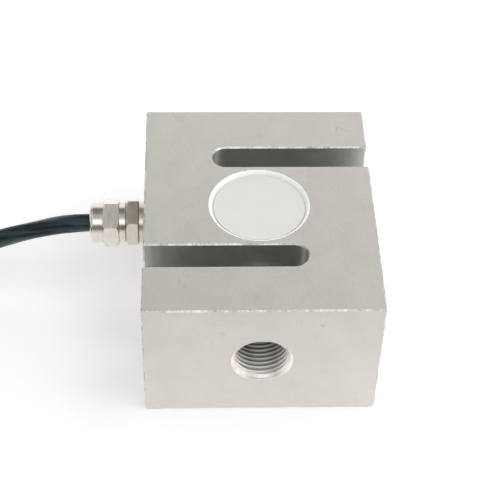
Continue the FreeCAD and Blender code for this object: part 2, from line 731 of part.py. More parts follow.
def make_clamp_nut():
    """The nut with its skirt, hexagon and rounded nose, hollow for the stub, seal and ring."""
    body = turned("gland_clamp_nut", [
        (NUT_START, CAVITY),
        (NUT_START, "skirt_diameter / 2"),
        (NUT_HEXAGON_START, "skirt_diameter / 2"),
        (NUT_HEXAGON_START, "spanner_size / 2"),
        (NUT_HEXAGON_END, "spanner_size / 2"),
        (NUT_HEXAGON_END, "dome_diameter / 2"),
        (NUT_END, "dome_diameter / 2"),
        (NUT_END, BORE),
        (NUT_SHOULDER, BORE),
        (NUT_SHOULDER, CAVITY),
    ])
    doc.recompute()
    rim = [
        f"Edge{number}"
        for number, edge in enumerate(body.Shape.Edges, start=1)
        if isinstance(edge.Curve, Part.Circle)
        and abs(edge.Curve.Radius - value("dome_diameter / 2")) < 1e-6
        and abs(edge.Curve.Center.x - value(NUT_END)) < 1e-6
    ]
    rounding = body.newObject("PartDesign::Fillet", "gland_clamp_nut_rim")
    rounding.Base = (body.Group[1], rim)
    bind(rounding, "Radius", "dome_round")
    sketch = new_sketch(body, "cavity", "YZ_Plane", NUT_HEXAGON_START)
    add_hexagon(body, NUT_HEXAGON_START, "nut_hexagon_length",
                [(NUT_HEXAGON_START, "1"), (NUT_HEXAGON_END, "-1")])
    circle(sketch, "0", "0", f"{CAVITY} * 2")
    cavity = body.newObject("PartDesign::Pocket", "gland_clamp_nut_cavity")
    cavity.Profile = sketch
    cavity.Reversed = True
    bind(cavity, "Length", "nut_hexagon_length")
    place_on_gland(body, "nut_hexagon_bearing")


def make_gland_inside():
    """The rubber seal round the cable, its thrust ring, and the O-ring under the collar."""
    ring_end = f"({NUT_SHOULDER} - seal_clearance)"
    ring_start = f"({ring_end} - ring_thickness)"
    seal_end = f"({ring_start} - seal_clearance)"
    seal = turned("gland_seal", [
        (f"{STUB_END} - stub_mouth_depth / 2", "cable_diameter / 2"),
        (f"{STUB_END} - stub_mouth_depth / 2", f"({BORE} + stub_mouth / 2) / 2 - seal_clearance"),
        (f"{STUB_END} + seal_clearance", "stub_mouth / 2 - seal_clearance"),
        (f"{STUB_END} + seal_clearance", f"{CAVITY} - seal_clearance"),
        (seal_end, f"{CAVITY} - seal_clearance"),
        (seal_end, "cable_diameter / 2"),
    ])
    place_on_gland(seal)
    ring = turned("gland_thrust_ring", [
        (ring_start, BORE),
        (ring_end, BORE),
        (ring_end, f"{CAVITY} - bore_clearance"),
        (ring_start, f"{CAVITY} - bore_clearance"),
    ])
    place_on_gland(ring)
    o_ring = doc.addObject("Part::Torus", "gland_o_ring")
    o_ring.Label = "gland_o_ring"
    bind(o_ring, "Radius1", "o_ring_diameter / 2")
    bind(o_ring, "Radius2", "o_ring_section / 2")
    place(o_ring, "-block_width / 2 - o_ring_section / 2", "port_offset", "block_depth / 2",
          Rotation(Vector(0, 1, 0), 90))
    nodes.append(o_ring)


# ---------------------------------------------------------------- cable


def coil_centre():
    """The middle of the coil, on the surface, set so that the route runs into its outer turn."""
    end = CABLE_ROUTE[-1]
    outer_turn = value("inner_turn_radius") + (TURNS_ACROSS - 1) * value("turn_pitch")
    return Vector(end.x - value("lead_in"), end.y - outer_turn, 0)


def on_coil(bearing, radius, height):
    """A point round the coil's middle, the bearing in degrees from +X."""
    angle = math.radians(bearing)
    return coil_centre() + Vector(radius * math.cos(angle), radius * math.sin(angle), height)


def make_cable():
    """The jacket in the gland, and the free cable down to the coil."""
    start = value("-block_width / 2 + jacket_inset")
    entry = doc.addObject("Part::Cylinder", "cable_entry")
    entry.Label = "cable_entry"
    bind(entry, "Radius", "cable_diameter / 2")
    entry.Height = start - CABLE_ROUTE[0].x
    place(entry, "-block_width / 2 + jacket_inset", "port_offset", "block_depth / 2",
          Rotation(Vector(0, 1, 0), -90))
    nodes.append(entry)
    diameter = value("cable_diameter")
    cable = new_feature("cable", tube(CABLE_ROUTE, diameter))
    path, radii = rounded_path(CABLE_ROUTE)
    print("cable radii in diameters", [round(radius / diameter, 1) for radius in radii])
    print("cable volume", round(cable.Shape.Volume, 1),
          "section times length", round(path.Length * math.pi * diameter**2 / 4, 1))


def make_coil():
    """The outer shape of the wound cable, one turn short in its top layer, where the tail lies."""
    diameter, pitch = value("cable_diameter"), value("turn_pitch")
    inner = value("inner_turn_radius") - diameter / 2
    outer = inner + diameter + (TURNS_ACROSS - 1) * pitch
    floor = value("tie_thickness")
    top = floor + diameter + (LAYERS - 1) * pitch
    corners = [
        Vector(inner, 0, floor),
        Vector(outer, 0, floor),
        Vector(outer, 0, top - pitch),
        Vector(outer - pitch, 0, top - pitch),
        Vector(outer - pitch, 0, top),
        Vector(inner, 0, top),
    ]
    section = Part.Face(Part.makePolygon(corners + corners[:1]))
    ring = section.revolve(Vector(), UP, FULL_TURN)
    outside_corners = [(corner.x, corner.z) for index, corner in enumerate(corners) if index != 3]
    rims = [
        edge
        for edge in ring.Edges
        if isinstance(edge.Curve, Part.Circle)
        and any(abs(edge.Curve.Radius - x) + abs(edge.Curve.Center.z - z) < 1e-6 for x, z in outside_corners)
    ]
    ring = Part.Solid(ring.makeFillet(value("coil_round"), rims).Shells[0])
    ring.translate(coil_centre())
    lead_in = Part.makeCylinder(diameter / 2, value("lead_in"), CABLE_ROUTE[-1], -ACROSS)
    new_feature("cable_coil", ring.fuse(lead_in).removeSplitter())


def tail_place():
    """Radius, height and start of the cable's tail on top of the coil, and its angle per millimetre."""
    diameter, pitch, rise = value("cable_diameter"), value("turn_pitch"), value("tail_rise")
    radius = value("inner_turn_radius") + (TURNS_ACROSS - 1) * pitch + rise
    height = value("tie_thickness") + diameter / 2 + (LAYERS - 1) * pitch + rise
    return radius, height, -90, math.degrees(1 / radius)


def ring_segment(radius, height, section_radius, start, angle):
    """A round bar bent round the coil's middle."""
    bar = Part.makeTorus(radius, section_radius, Vector(), UP, 0, FULL_TURN, angle)
    bar.rotate(Vector(), UP, start)
    bar.translate(coil_centre() + Vector(0, 0, height))
    return bar


def make_tail():
    """The jacket's far end on top of the coil, with its shrink sleeve."""
    radius, height, start, per_millimetre = tail_place()
    jacket = value("cable_diameter / 2")
    length = value("tail_length")
    new_feature("cable_tail", ring_segment(radius, height, jacket, start, length * per_millimetre))
    lapped = value("sleeve_length - sleeve_lap")
    sleeve_start = start + (length - lapped) * per_millimetre
    sleeve_angle = value("sleeve_length") * per_millimetre
    outside = ring_segment(radius, height, jacket + value("sleeve_wall"), sleeve_start, sleeve_angle)
    inside = ring_segment(radius, height, jacket, sleeve_start, sleeve_angle)
    new_feature("tail_sleeve", outside.cut(inside))


def make_tail_cores():
    """The stripped cores and drain wire, fanned out along the coil, and their tinned tips."""
    radius, height, start, per_millimetre = tail_place()
    core, screen, tip = value("core_diameter"), value("screen_diameter"), value("conductor_diameter")
    end = start + value("tail_length") * per_millimetre
    lap, length = value("sleeve_lap"), value("core_length")
    step = length / 5
    lying = core / 2 - value("cable_diameter / 2") - value("tail_rise")
    # Each wire: diameter, where it starts in the jacket, where it lies, and whether it goes over.
    half_pitch, spread = value("bundle_pitch / 2"), value("fan_pitch")
    wires = [
        ("red", core, (-half_pitch, -half_pitch), -2 * spread, 0),
        ("black", core, (-half_pitch, half_pitch), -spread, 1),
        ("screen", screen, (0, 0), 0, 0),
        ("green", core, (half_pitch, half_pitch), spread, 1),
        ("white", core, (half_pitch, -half_pitch), 2 * spread, 0),
    ]
    tips = []
    for name, diameter, (aside, above), place_aside, over in wires:
        high = lying + over * value("fan_hump")
        resting = lying - (core - diameter) / 2
        stations = [
            (value("bundle_gap"), aside, above),
            (lap, aside, above),
            (lap + step, place_aside, high),
            (lap + 2 * step, place_aside, resting),
            (lap + 3 * step, place_aside, resting),
            (length, place_aside, resting),
        ]
        route = [
            on_coil(end + along * per_millimetre, radius + sideways, height + upwards)
            for along, sideways, upwards in stations
        ]
        if name == "screen":
            new_feature("tail_drain_wire", tube(route, diameter))
            continue
        new_feature(f"tail_core_{name}", tube(route, diameter))
        last_run = route[-1] - route[-2]
        tips.append(Part.makeCylinder(tip / 2, value("tip_length"), route[-1], last_run))
    new_feature("tail_tips", Part.makeCompound(tips))


def make_ties():
    """Two cable ties round the coil's turns, each a strap with its head on top."""
    thickness, width, corner = value("tie_thickness"), value("tie_width"), value("tie_corner")
    radius, height, start, per_millimetre = tail_place()
    inner = math.sqrt(value("inner_turn_radius - cable_diameter / 2") ** 2 - (width / 2) ** 2)
    outer = radius + value("cable_diameter / 2")
    top = height + value("cable_diameter / 2")
    span, rise = outer - inner, top - thickness
    head, head_height = value("tie_head"), value("tie_head_height")
    for number, bearing in enumerate(TIE_BEARINGS, start=1):
        inside = Part.makeBox(span, width, rise, Vector(inner, -width / 2, thickness))
        inside = inside.makeFillet(corner, [edge for edge in inside.Edges if abs(edge.tangentAt(0).y) > 0.5])
        outside = Part.makeBox(span + 2 * thickness, width, rise + 2 * thickness,
                               Vector(inner - thickness, -width / 2, 0))
        outside = outside.makeFillet(
            corner + thickness, [edge for edge in outside.Edges if abs(edge.tangentAt(0).y) > 0.5])
        block = Part.makeBox(head, head, head_height,
                             Vector((inner + outer - head) / 2, -head / 2, top + thickness))
        tie = outside.cut(inside).fuse(block).removeSplitter()
        tie.rotate(Vector(), UP, bearing)
        tie.translate(coil_centre())
        new_feature(f"coil_tie_{number}", tie)


# ---------------------------------------------------------------- document


def check():
    """Stops if any object of the document failed, or a sub-part's shape isn't sound."""
    for item in doc.Objects:
        if "Invalid" in item.State or "Error" in item.State:
            raise RuntimeError(f"{item.Label} failed: {item.State}")
    for node in nodes:
        if node.Shape.isNull() or not node.Shape.isValid() or not node.Shape.Solids:
            raise RuntimeError(f"{node.Label} has no sound solid")


def export():
    """Writes each sub-part to a STEP file under its own name."""
    os.makedirs("parts", exist_ok=True)
    for node in nodes:
        node.Shape.exportStep(f"parts/{node.Label}.step")
    print(len(nodes), "sub-parts")


fill_sheet()
make_block()
make_covers()
make_gauges()
make_board()
make_bridge_wires()
make_inner_cores()
make_gland_body()
make_clamp_nut()
make_gland_inside()
make_cable()
make_coil()
make_tail()
make_tail_cores()
make_ties()
doc.recompute()
check()
export()
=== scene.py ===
# %% [markdown]
# # An S type load cell
# The cell is a block of nickel-plated steel, cut into the shape of an S by two slots. Pull or push on
# its two tapped ends and the thin web in its middle shears a little, which the gauges on that web
# feel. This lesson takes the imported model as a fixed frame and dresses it: the threads are cut, the
# cable is laid and wound, and every surface gets its finish.

# %% Load the frame
import math

import bmesh
import bpy
from mathutils import Matrix, Vector


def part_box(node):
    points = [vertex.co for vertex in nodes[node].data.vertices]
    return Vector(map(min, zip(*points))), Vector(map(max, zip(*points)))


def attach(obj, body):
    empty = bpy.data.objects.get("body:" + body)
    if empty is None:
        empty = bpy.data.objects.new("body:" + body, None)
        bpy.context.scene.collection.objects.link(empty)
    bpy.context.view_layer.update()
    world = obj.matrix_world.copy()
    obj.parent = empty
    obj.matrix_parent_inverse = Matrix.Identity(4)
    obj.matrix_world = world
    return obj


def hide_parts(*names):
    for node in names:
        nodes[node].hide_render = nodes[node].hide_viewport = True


MM = 0.001
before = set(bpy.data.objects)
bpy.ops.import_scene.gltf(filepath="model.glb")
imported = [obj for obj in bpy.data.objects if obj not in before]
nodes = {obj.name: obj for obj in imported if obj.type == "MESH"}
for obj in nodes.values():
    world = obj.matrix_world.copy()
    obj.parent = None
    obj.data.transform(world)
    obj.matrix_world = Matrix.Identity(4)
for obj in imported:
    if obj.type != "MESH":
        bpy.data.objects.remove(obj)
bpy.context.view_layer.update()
block_low, block_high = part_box("sensing_block")
print("block in mm", [round(side / MM, 1) for side in block_high - block_low])

# %% [markdown]
# ## Camera
# The camera looks down on the front of the block through a long lens, so that the block's sides stay
# nearly parallel. It is easier to place by what it looks at than by its own position: a point in the
# block, a distance, a heading, a downward angle and a slight roll.

# %% Camera
AIM = Vector((-2.0, 2.1, 21.0)) * MM
DISTANCE = 409 * MM
HEADING = math.radians(-3.30)
DOWNWARD = math.radians(46.39)
ROLL = math.radians(2.08)
SENSOR_WIDTH = 36
FOCAL_LENGTH = 100.1
NEAREST = 0.01

lens = bpy.data.cameras.new("camera")
lens.sensor_width = SENSOR_WIDTH
lens.lens = FOCAL_LENGTH
lens.clip_start = NEAREST
camera = bpy.data.objects.new("camera", lens)
bpy.context.scene.collection.objects.link(camera)
turn = (
    Matrix.Rotation(HEADING, 4, "Z")
    @ Matrix.Rotation(math.pi / 2 - DOWNWARD, 4, "X")
    @ Matrix.Rotation(ROLL, 4, "Z")
)
camera.matrix_world = Matrix.Translation(AIM) @ turn @ Matrix.Translation((0, 0, DISTANCE))
bpy.context.scene.camera = camera
print("camera at mm", [round(part / MM, 1) for part in camera.matrix_world.translation])

# %% [markdown]
# ## Helpers
# Every finished piece sits at the origin with its place in its mesh and rides on the model's one body.
# Curved faces are shaded smooth and edges past a given angle stay sharp.

# %% Helpers for pieces


def smooth(mesh, sharp_past=30):
    """Shades a mesh smooth, with its edges sharp past an angle in degrees."""
    mesh.polygons.foreach_set("use_smooth", [True] * len(mesh.polygons))
    mesh.set_sharp_from_angle(angle=math.radians(sharp_past))


def finish_piece(bm, name, replaced=(), sharp_past=30):
    """Turns a bmesh into a piece of the object."""
    bmesh.ops.recalc_face_normals(bm, faces=bm.faces)
    mesh = bpy.data.meshes.new(name)
    bm.to_mesh(mesh)
    bm.free()
    smooth(mesh, sharp_past)
    return add_piece(mesh, name, replaced)


def add_piece(mesh, name, replaced=()):
    """Links a mesh as a piece that rides on the body and stands for the named nodes."""
    piece = bpy.data.objects.new(name, mesh)
    bpy.context.scene.collection.objects.link(piece)
    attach(piece, "root")
    if replaced:
        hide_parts(*replaced)
    return piece


FLAT_WITHIN = math.radians(0.5)


def join_flats(bm):
    """Joins the triangles that lie in one plane, so that a flat face is one face again."""
    bmesh.ops.dissolve_limit(bm, angle_limit=FLAT_WITHIN, verts=bm.verts[:], edges=bm.edges[:])


SEAM_GAP = 0.0005


def merged_copy(node, gap=SEAM_GAP):
    """A CAD node's mesh as a bmesh, with its loose triangles joined into whole faces."""
    bm = bmesh.new()
    bm.from_mesh(nodes[node].data)
    bmesh.ops.remove_doubles(bm, verts=bm.verts, dist=gap * MM)
    join_flats(bm)
    return bm


def apply_modifiers(piece):
    """Bakes a piece's modifiers into its mesh."""
    depsgraph = bpy.context.evaluated_depsgraph_get()
    mesh = bpy.data.meshes.new_from_object(piece.evaluated_get(depsgraph))
    piece.modifiers.clear()
    piece.data = mesh


FLAT_FACE_WEIGHT = 100


def even_shading(piece):
    """Lets large flat faces set the normals at their edges, so that only the curves are shaded round."""
    weighted = piece.modifiers.new("even shading", "WEIGHTED_NORMAL")
    weighted.keep_sharp = True
    weighted.weight = FLAT_FACE_WEIGHT
    bpy.context.view_layer.update()
    apply_modifiers(piece)


EASED_PAST = math.radians(25)
SLIVER_GAP = 0.03


def eased_copy(node, name, ease):
    """A copy of a CAD node with its sharp edges rounded by a radius in millimetres."""
    bm = merged_copy(node, gap=SLIVER_GAP)
    sharp = [edge for edge in bm.edges if edge.is_manifold and edge.calc_face_angle() > EASED_PAST]
    bmesh.ops.bevel(
        bm,
        geom=sharp,
        affect="EDGES",
        offset_type="OFFSET",
        offset=ease * MM,
        segments=2,
        profile=0.5,
        material=-1,
    )
    piece = finish_piece(bm, name, [node], sharp_past=40)
    even_shading(piece)
    print(name, "faces", len(piece.data.polygons))
    return piece


# %% [markdown]
# ## The cable's line
# The cable is one curve. It leaves the gland, sinks to the surface and is wound into a coil of four
# layers. The free part is a short list of points, given one by one in millimetres, because a lead that
# has been handled follows no rule.

# %% The cable's size and route
CABLE_DIAMETER = 5.5
CABLE_LENGTH = 3.0
ROUTE = [
    (-44, 13.9, 21),
    (-55, 13.9, 21),
    (-67, 13.4, 18.2),
    (-79.5, 12.6, 14.6),
    (-91.5, 12.2, 7.9),
    (-103.5, 12.1, 3.35),
    (-115, 12.1, 3.35),
]
print("cable in mm", CABLE_DIAMETER, "points on the free part", len(ROUTE))

# %% [markdown]
# ### The coil
# The coil's turns come from a loop, because they do follow a rule. Each turn keeps its radius for five
# sixths of the way round and crosses to the next turn in the last sixth. Each layer crosses over a
# sector of its own, so that no two crossings meet. In the last layer the cable's tail takes the place
# of the outermost turn.

# %% The coil's points
LEAD_IN = 22
LEAD_BEARING = 90
TURN_RADII = [38.4, 32.8, 27.2, 21.6]
TURN_PITCH = 5.6
LAYERS = 4
FIRST_HEIGHT = 3.35
STEP = 15
CROSSING = 60
TAIL_RISE = 0.35
TAIL_START = 270
TAIL_LENGTH = 150
QUARTER_TURN, FULL_TURN = 90, 360
coil_middle = Vector((ROUTE[-1][0] - LEAD_IN, ROUTE[-1][1] - TURN_RADII[0], 0))
# A smooth curve runs a little inside its control points, so a turn's points stand out by this much.
OUTSIDE = 1 / math.cos(math.radians(STEP / 2))


def on_coil(bearing, radius, height):
    """A point of the coil, in millimetres, its bearing in degrees from +X."""
    angle = math.radians(bearing)
    return coil_middle + Vector((math.cos(angle), math.sin(angle), 0)) * radius + Vector((0, 0, height))


def winding():
    """The coil's points, from the end of the lead-in to the end of the tail."""
    points = []
    bearing = LEAD_BEARING
    for layer in range(LAYERS):
        height = FIRST_HEIGHT + layer * TURN_PITCH
        inwards = layer % 2 == 0
        radii = TURN_RADII if inwards else TURN_RADII[::-1]
        last_layer = layer == LAYERS - 1
        crossing_starts = -CROSSING * layer % FULL_TURN
        for number, radius in enumerate(radii[:-1] if last_layer else radii):
            while bearing == LEAD_BEARING or bearing % FULL_TURN != crossing_starts:
                points.append(on_coil(bearing, radius * OUTSIDE, height))
                bearing += STEP
            climbs = number == len(radii) - 1
            shift = 0 if climbs else radii[number + 1] - radius
            for step in range(CROSSING // STEP):
                phase = math.radians(QUARTER_TURN * step * STEP / CROSSING)
                across = radius + shift * (1 - math.cos(phase))
                above = TURN_PITCH * math.sin(phase) if climbs else 0
                points.append(on_coil(bearing, across * OUTSIDE, height + above))
                bearing += STEP
    radius = TURN_RADII[0] + TAIL_RISE
    tail_turn = math.degrees(TAIL_LENGTH / radius)
    height += TAIL_RISE
    end = bearing + (TAIL_START - bearing) % FULL_TURN + tail_turn
    while bearing < end - STEP:
        points.append(on_coil(bearing, radius * OUTSIDE, height))
        bearing += STEP
    return points + [on_coil(end, radius, height)]


print("points in the coil", len(winding()))

# %% The cable's line


def make_line(name, points):
    """A smooth open curve through the corners given in millimetres."""
    curve = bpy.data.curves.new(name, "CURVE")
    curve.dimensions = "3D"
    spline = curve.splines.new("NURBS")
    spline.points.add(len(points) - 1)
    for spot, point in zip(spline.points, points):
        spot.co = (*(Vector(point) * MM), 1)
    spline.order_u = 3
    spline.use_endpoint_u = True
    curve.resolution_u = 4
    return curve


def points_along(curve):
    """The points that a curve is drawn through."""
    bare = bpy.data.objects.new("bare", curve)
    mesh = bpy.data.meshes.new_from_object(bare)
    points = [vertex.co.copy() for vertex in mesh.vertices]
    bpy.data.objects.remove(bare)
    bpy.data.meshes.remove(mesh)
    return points


cable_line = make_line("cable_line", ROUTE + winding())
cable_points = points_along(cable_line)
run = sum((b - a).length for a, b in zip(cable_points, cable_points[1:]))
print("cable line in m", round(run, 3), "points", len(cable_points))

# %% [markdown]
# ## The cable's jacket
# Four cores lie twisted under a thin jacket, which follows them a little, so the cable isn't quite
# round: it has four shallow ridges that wind slowly along it. A round section swept along the line
# would lose them. Here the section is a closed curve with four soft lobes, and the line's tilt turns
# that section as it goes.

# %% The cable's jacket
LOBES = 4
LOBE_DEPTH = 0.2
SECTION_POINTS = 24
CABLE_LAY = 95

section = bpy.data.curves.new("cable_section", "CURVE")
ring = section.splines.new("POLY")
ring.points.add(SECTION_POINTS - 1)
for index, spot in enumerate(ring.points):
    angle = 2 * math.pi * index / SECTION_POINTS
    radius = (CABLE_DIAMETER / 2 - LOBE_DEPTH * (0.5 - 0.5 * math.cos(LOBES * angle))) * MM
    spot.co = (radius * math.cos(angle), radius * math.sin(angle), 0, 1)
ring.use_cyclic_u = True
section_piece = bpy.data.objects.new("cable_section", section)
bpy.context.scene.collection.objects.link(section_piece)

travelled = 0
spots = cable_line.splines[0].points
for before, spot in zip(spots, spots[1:]):
    travelled += (spot.co.xyz - before.co.xyz).length
    spot.tilt = 2 * math.pi * travelled / (CABLE_LAY * MM)
cable_line.bevel_mode = "OBJECT"
cable_line.bevel_object = section_piece
cable_line.use_fill_caps = True
swept = bpy.data.objects.new("swept", cable_line)
bpy.context.scene.collection.objects.link(swept)
bpy.context.view_layer.update()
depsgraph = bpy.context.evaluated_depsgraph_get()
jacket_mesh = bpy.data.meshes.new_from_object(swept.evaluated_get(depsgraph))
bpy.data.objects.remove(swept)
bpy.data.objects.remove(section_piece)
smooth(jacket_mesh, sharp_past=60)
cable = add_piece(jacket_mesh, "cable_jacket", ["cable", "cable_coil", "cable_tail"])
print("jacket faces", len(jacket_mesh.polygons), "uv maps", [layer.name for layer in jacket_mesh.uv_layers])

# %% [markdown]
# ## The block and its threads
# The frame's holes are plain: they are the bore that the tap starts from. A thread cut as a bump would
# look painted on, because its crests catch the light and throw shadows. So a tap is made, as a solid
# with a real helix, and taken out of a copy of the block. It starts as the zigzag profile of a metric
# thread, whose crests are rounded a little, as a cutter leaves them.

# %% The thread's sizes
THREAD_DIAMETER = 16.0
THREAD_PITCH = 1.5
DEPTH_OF_PITCH = 0.5413
FLANK_ANGLE = math.radians(30)
CREST_OVERSIZE = 0.03
CREST_ROUND = 0.31
CREST_TURNS = (0, 15, 30, 45, 60)
thread_depth = DEPTH_OF_PITCH * THREAD_PITCH
crest_radius = THREAD_DIAMETER / 2 - thread_depth + CREST_OVERSIZE
root_radius = THREAD_DIAMETER / 2


def tap_profile():
    """One pitch of the zigzag, as pairs of a place along the axis and a radius."""
    flank = thread_depth * math.tan(FLANK_ANGLE)
    crest = THREAD_PITCH / 4
    inset = CREST_ROUND * math.tan(FLANK_ANGLE)
    arc = [
        (CREST_ROUND * math.sin(math.radians(turn)), CREST_ROUND * (1 - math.cos(math.radians(turn))))
        for turn in CREST_TURNS
    ]
    rising = [(crest - inset + along, crest_radius + out) for along, out in arc]
    falling = [(THREAD_PITCH + inset - along, crest_radius + out) for along, out in arc[::-1]]
    return rising + [(crest + flank, root_radius), (THREAD_PITCH - flank, root_radius)] + falling


print("thread radii in mm", round(crest_radius, 3), root_radius)

# %% [markdown]
# ### The tap
# The profile is repeated along the axis as one chain of points. One full turn of a spin carries the
# chain round the axis and forward by one pitch, so each pitch ends where the next began, and joining
# those points makes one unbroken helix. Its start is drawn in to a cone and its ends are cut square.

# %% The tap
TAP_STEPS = 96
TAP_LENGTH = 16.7
TAP_CLEARANCE = 0.06
MOUTH_DEPTH = 1.33
TURNS_BEFORE, TURNS_SPARE = 2, 3
HELIX_GAP, PLANE_GAP = 0.001, 0.0001
middle_height = (block_low.z + block_high.z) / 2


def spin_helix(bm, length):
    """Carries the profile's chain once round the axis, and forward by one pitch."""
    pitches = math.ceil(length / THREAD_PITCH) + TURNS_SPARE
    chain = [
        bm.verts.new((radius * MM, ((turn - TURNS_BEFORE) * THREAD_PITCH + along) * MM, 0))
        for turn in range(pitches)
        for along, radius in tap_profile()
    ]
    edges = [bm.edges.new(pair) for pair in zip(chain, chain[1:])]
    bmesh.ops.spin(
        bm,
        geom=chain + edges,
        cent=(0, 0, 0),
        axis=(0, -1, 0),
        dvec=(0, THREAD_PITCH / TAP_STEPS * MM, 0),
        angle=2 * math.pi,
        steps=TAP_STEPS,
        use_merge=False,
    )
    bmesh.ops.remove_doubles(bm, verts=bm.verts, dist=HELIX_GAP * MM)


def taper_start(bm):
    """Draws the first turns in to a cone, so that the thread starts from nothing."""
    for vert in bm.verts:
        taper = (crest_radius + TAP_CLEARANCE) * MM + max(0, vert.co.y)
        radius = math.hypot(vert.co.x, vert.co.z)
        if radius > taper:
            vert.co = (vert.co.x * taper / radius, vert.co.y, vert.co.z * taper / radius)


def close_ends(bm, length):
    """Cuts the helix off square at both ends and closes it there."""
    for end, normal in ((0, -1), (length, 1)):
        bmesh.ops.bisect_plane(
            bm,
            geom=bm.verts[:] + bm.edges[:] + bm.faces[:],
            dist=PLANE_GAP * MM,
            plane_co=(0, end * MM, 0),
            plane_no=(0, normal, 0),
            clear_outer=True,
        )
    bmesh.ops.holes_fill(bm, edges=[edge for edge in bm.edges if edge.is_boundary], sides=0)
    bmesh.ops.triangulate(bm, faces=[face for face in bm.faces if len(face.verts) > 4])
    bmesh.ops.recalc_face_normals(bm, faces=bm.faces)


def make_tap(mouth, length):
    """A right-handed threaded rod along +Y from the mouth, with a tapered start, closed at both ends."""
    bm = bmesh.new()
    spin_helix(bm, length)
    taper_start(bm)
    close_ends(bm, length)
    bmesh.ops.translate(bm, verts=bm.verts, vec=mouth)
    mesh = bpy.data.meshes.new("tap")
    bm.to_mesh(mesh)
    bm.free()
    tap = bpy.data.objects.new("tap", mesh)
    bpy.context.scene.collection.objects.link(tap)
    return tap


tap = make_tap(Vector((0, block_low.y + MOUTH_DEPTH * MM, middle_height)), TAP_LENGTH)
print("tap faces", len(tap.data.polygons))

# %% [markdown]
# ### Cutting
# The block is the CAD's own, copied. The tap is taken out of it twice, once in each end: the second
# time it is turned half round the block's upright axis. The exact solver is used, since it copes with
# surfaces that nearly touch, as the tap's crests and the bore's wall do.

# %% Cut both threads
block = add_piece(bpy.data.meshes.new("block"), "threaded_block", ["sensing_block"])
bm = merged_copy("sensing_block")
bm.to_mesh(block.data)
bm.free()
for half_turn in (0, math.pi):
    tool = tap.copy()
    tool.data = tap.data.copy()
    tool.data.transform(Matrix.Rotation(half_turn, 4, "Z"))
    bpy.context.scene.collection.objects.link(tool)
    cut = block.modifiers.new("tapping", "BOOLEAN")
    cut.operation = "DIFFERENCE"
    cut.solver = "EXACT"
    cut.object = tool
    bpy.context.view_layer.update()
    apply_modifiers(block)
    bpy.data.objects.remove(tool)
bpy.data.objects.remove(tap)
print("block faces", len(block.data.polygons))

# %% [markdown]
# ## One block, five finishes
# The plating is the same all over, but what lies under it isn't: the outside is blasted satin, the
# slots and wells are left as the cutter made them, the countersinks are turned bright, the threads are
# cut, and the broken edges are nicked and rubbed by handling and carry a painted highlight. Each face
# is sorted into one of these by where it is and which way it faces, and gets that finish's place in the
# list of materials.

# %% Sort the block's faces
SATIN, MILLED, TURNED, THREADED, NICKED_AND_HIGHLIT = FINISHES = range(5)
MOUTH_DIAMETER = 17
THREAD_END = 16.2
SLOT_OFFSET = 19.7
SLOT_WIDTH = 8
WELL_REACH = 15
HAIR = 0.1
SLANTED = 0.8


def finish_of(face):
    """The finish that a face of the block has under its plating."""
    centre = face.center / MM
    from_axis = math.hypot(centre.x, centre.z - middle_height / MM)
    depth = block_high.y / MM - abs(centre.y)
    upright = abs(face.normal.z) < HAIR
    inside = abs(centre.x) < block_high.x / MM - 4 * HAIR
    if HAIR / 2 < depth < THREAD_END and from_axis < MOUTH_DIAMETER / 2 + HAIR:
        return TURNED if depth < MOUTH_DEPTH else THREADED
    if upright and inside and abs(abs(centre.y) - SLOT_OFFSET) < SLOT_WIDTH / 2 + HAIR:
        return MILLED
    if upright and math.hypot(centre.x, centre.y) < WELL_REACH:
        return MILLED
    # Slanted faces are the broken edges, nicked and painted with highlights.
    if max(abs(part) for part in face.normal) < SLANTED:
        return NICKED_AND_HIGHLIT
    return SATIN


bm = bmesh.new()
bm.from_mesh(block.data)
join_flats(bm)
bm.to_mesh(block.data)
bm.free()
smooth(block.data)
even_shading(block)
block_finishes = [finish_of(face) for face in block.data.polygons]
print("faces of each finish", [block_finishes.count(finish) for finish in FINISHES])

# %% [markdown]
# ## The gland and the small pieces
# The gland's two hexagons come out of the frame with knife edges. On the real brass every edge is
# eased a little by the tool and the plating, and it is that thin rounded edge which catches a line of
# light. A small bevel on a copy of each piece gives it back. The cable ties and the blank label get
# the same treatment, a little rounder, because they are moulded or punched.

# %% Ease the edges
LABEL_SPREAD = 1.014
gland_body = eased_copy("gland_body", "eased_gland_body", ease=0.1)
gland_nut = eased_copy("gland_clamp_nut", "eased_gland_nut", ease=0.12)
ties = [eased_copy(f"coil_tie_{number}", f"eased_tie_{number}", ease=0.2) for number in (1, 2)]
label = eased_copy("front_label", "eased_label", ease=0.05)
label.data.transform(Matrix.Diagonal((LABEL_SPREAD, LABEL_SPREAD, 1, 1)))

# %% [markdown]
# ## The sealant
# Each cover is bonded in with a white sealant that is pressed into the gap round it and wiped with a
# finger. It ends up fullest at the wall, slopes down to the cover, and its height wanders a little. The
# bead is a profile spun round the well's axis, with the upper points lifted by a slow wave; the one
# underneath is the same bead turned over.

# %% Lay the sealant
SEALANT_PROFILE = [
    (13.2, 0.0), (14.25, 0.0), (14.25, 1.8), (14.33, 1.88), (14.12, 1.87), (13.92, 1.78),
    (13.72, 1.60), (13.54, 1.35), (13.38, 1.08), (13.26, 0.90), (13.2, 0.84),
]
SEALANT_STEPS = 144
WAVY_ABOVE, WAVY_BELOW = 0.8, 1.87
SEALANT_WAVE = 0.05
# Each wave's number of crests round the ring, its share, of two in all, and its start.
SEALANT_WAVES = [(5, 1, 1), (13, 0.6, 0), (29, 0.4, 2)]
RECESS_DEPTH = 2


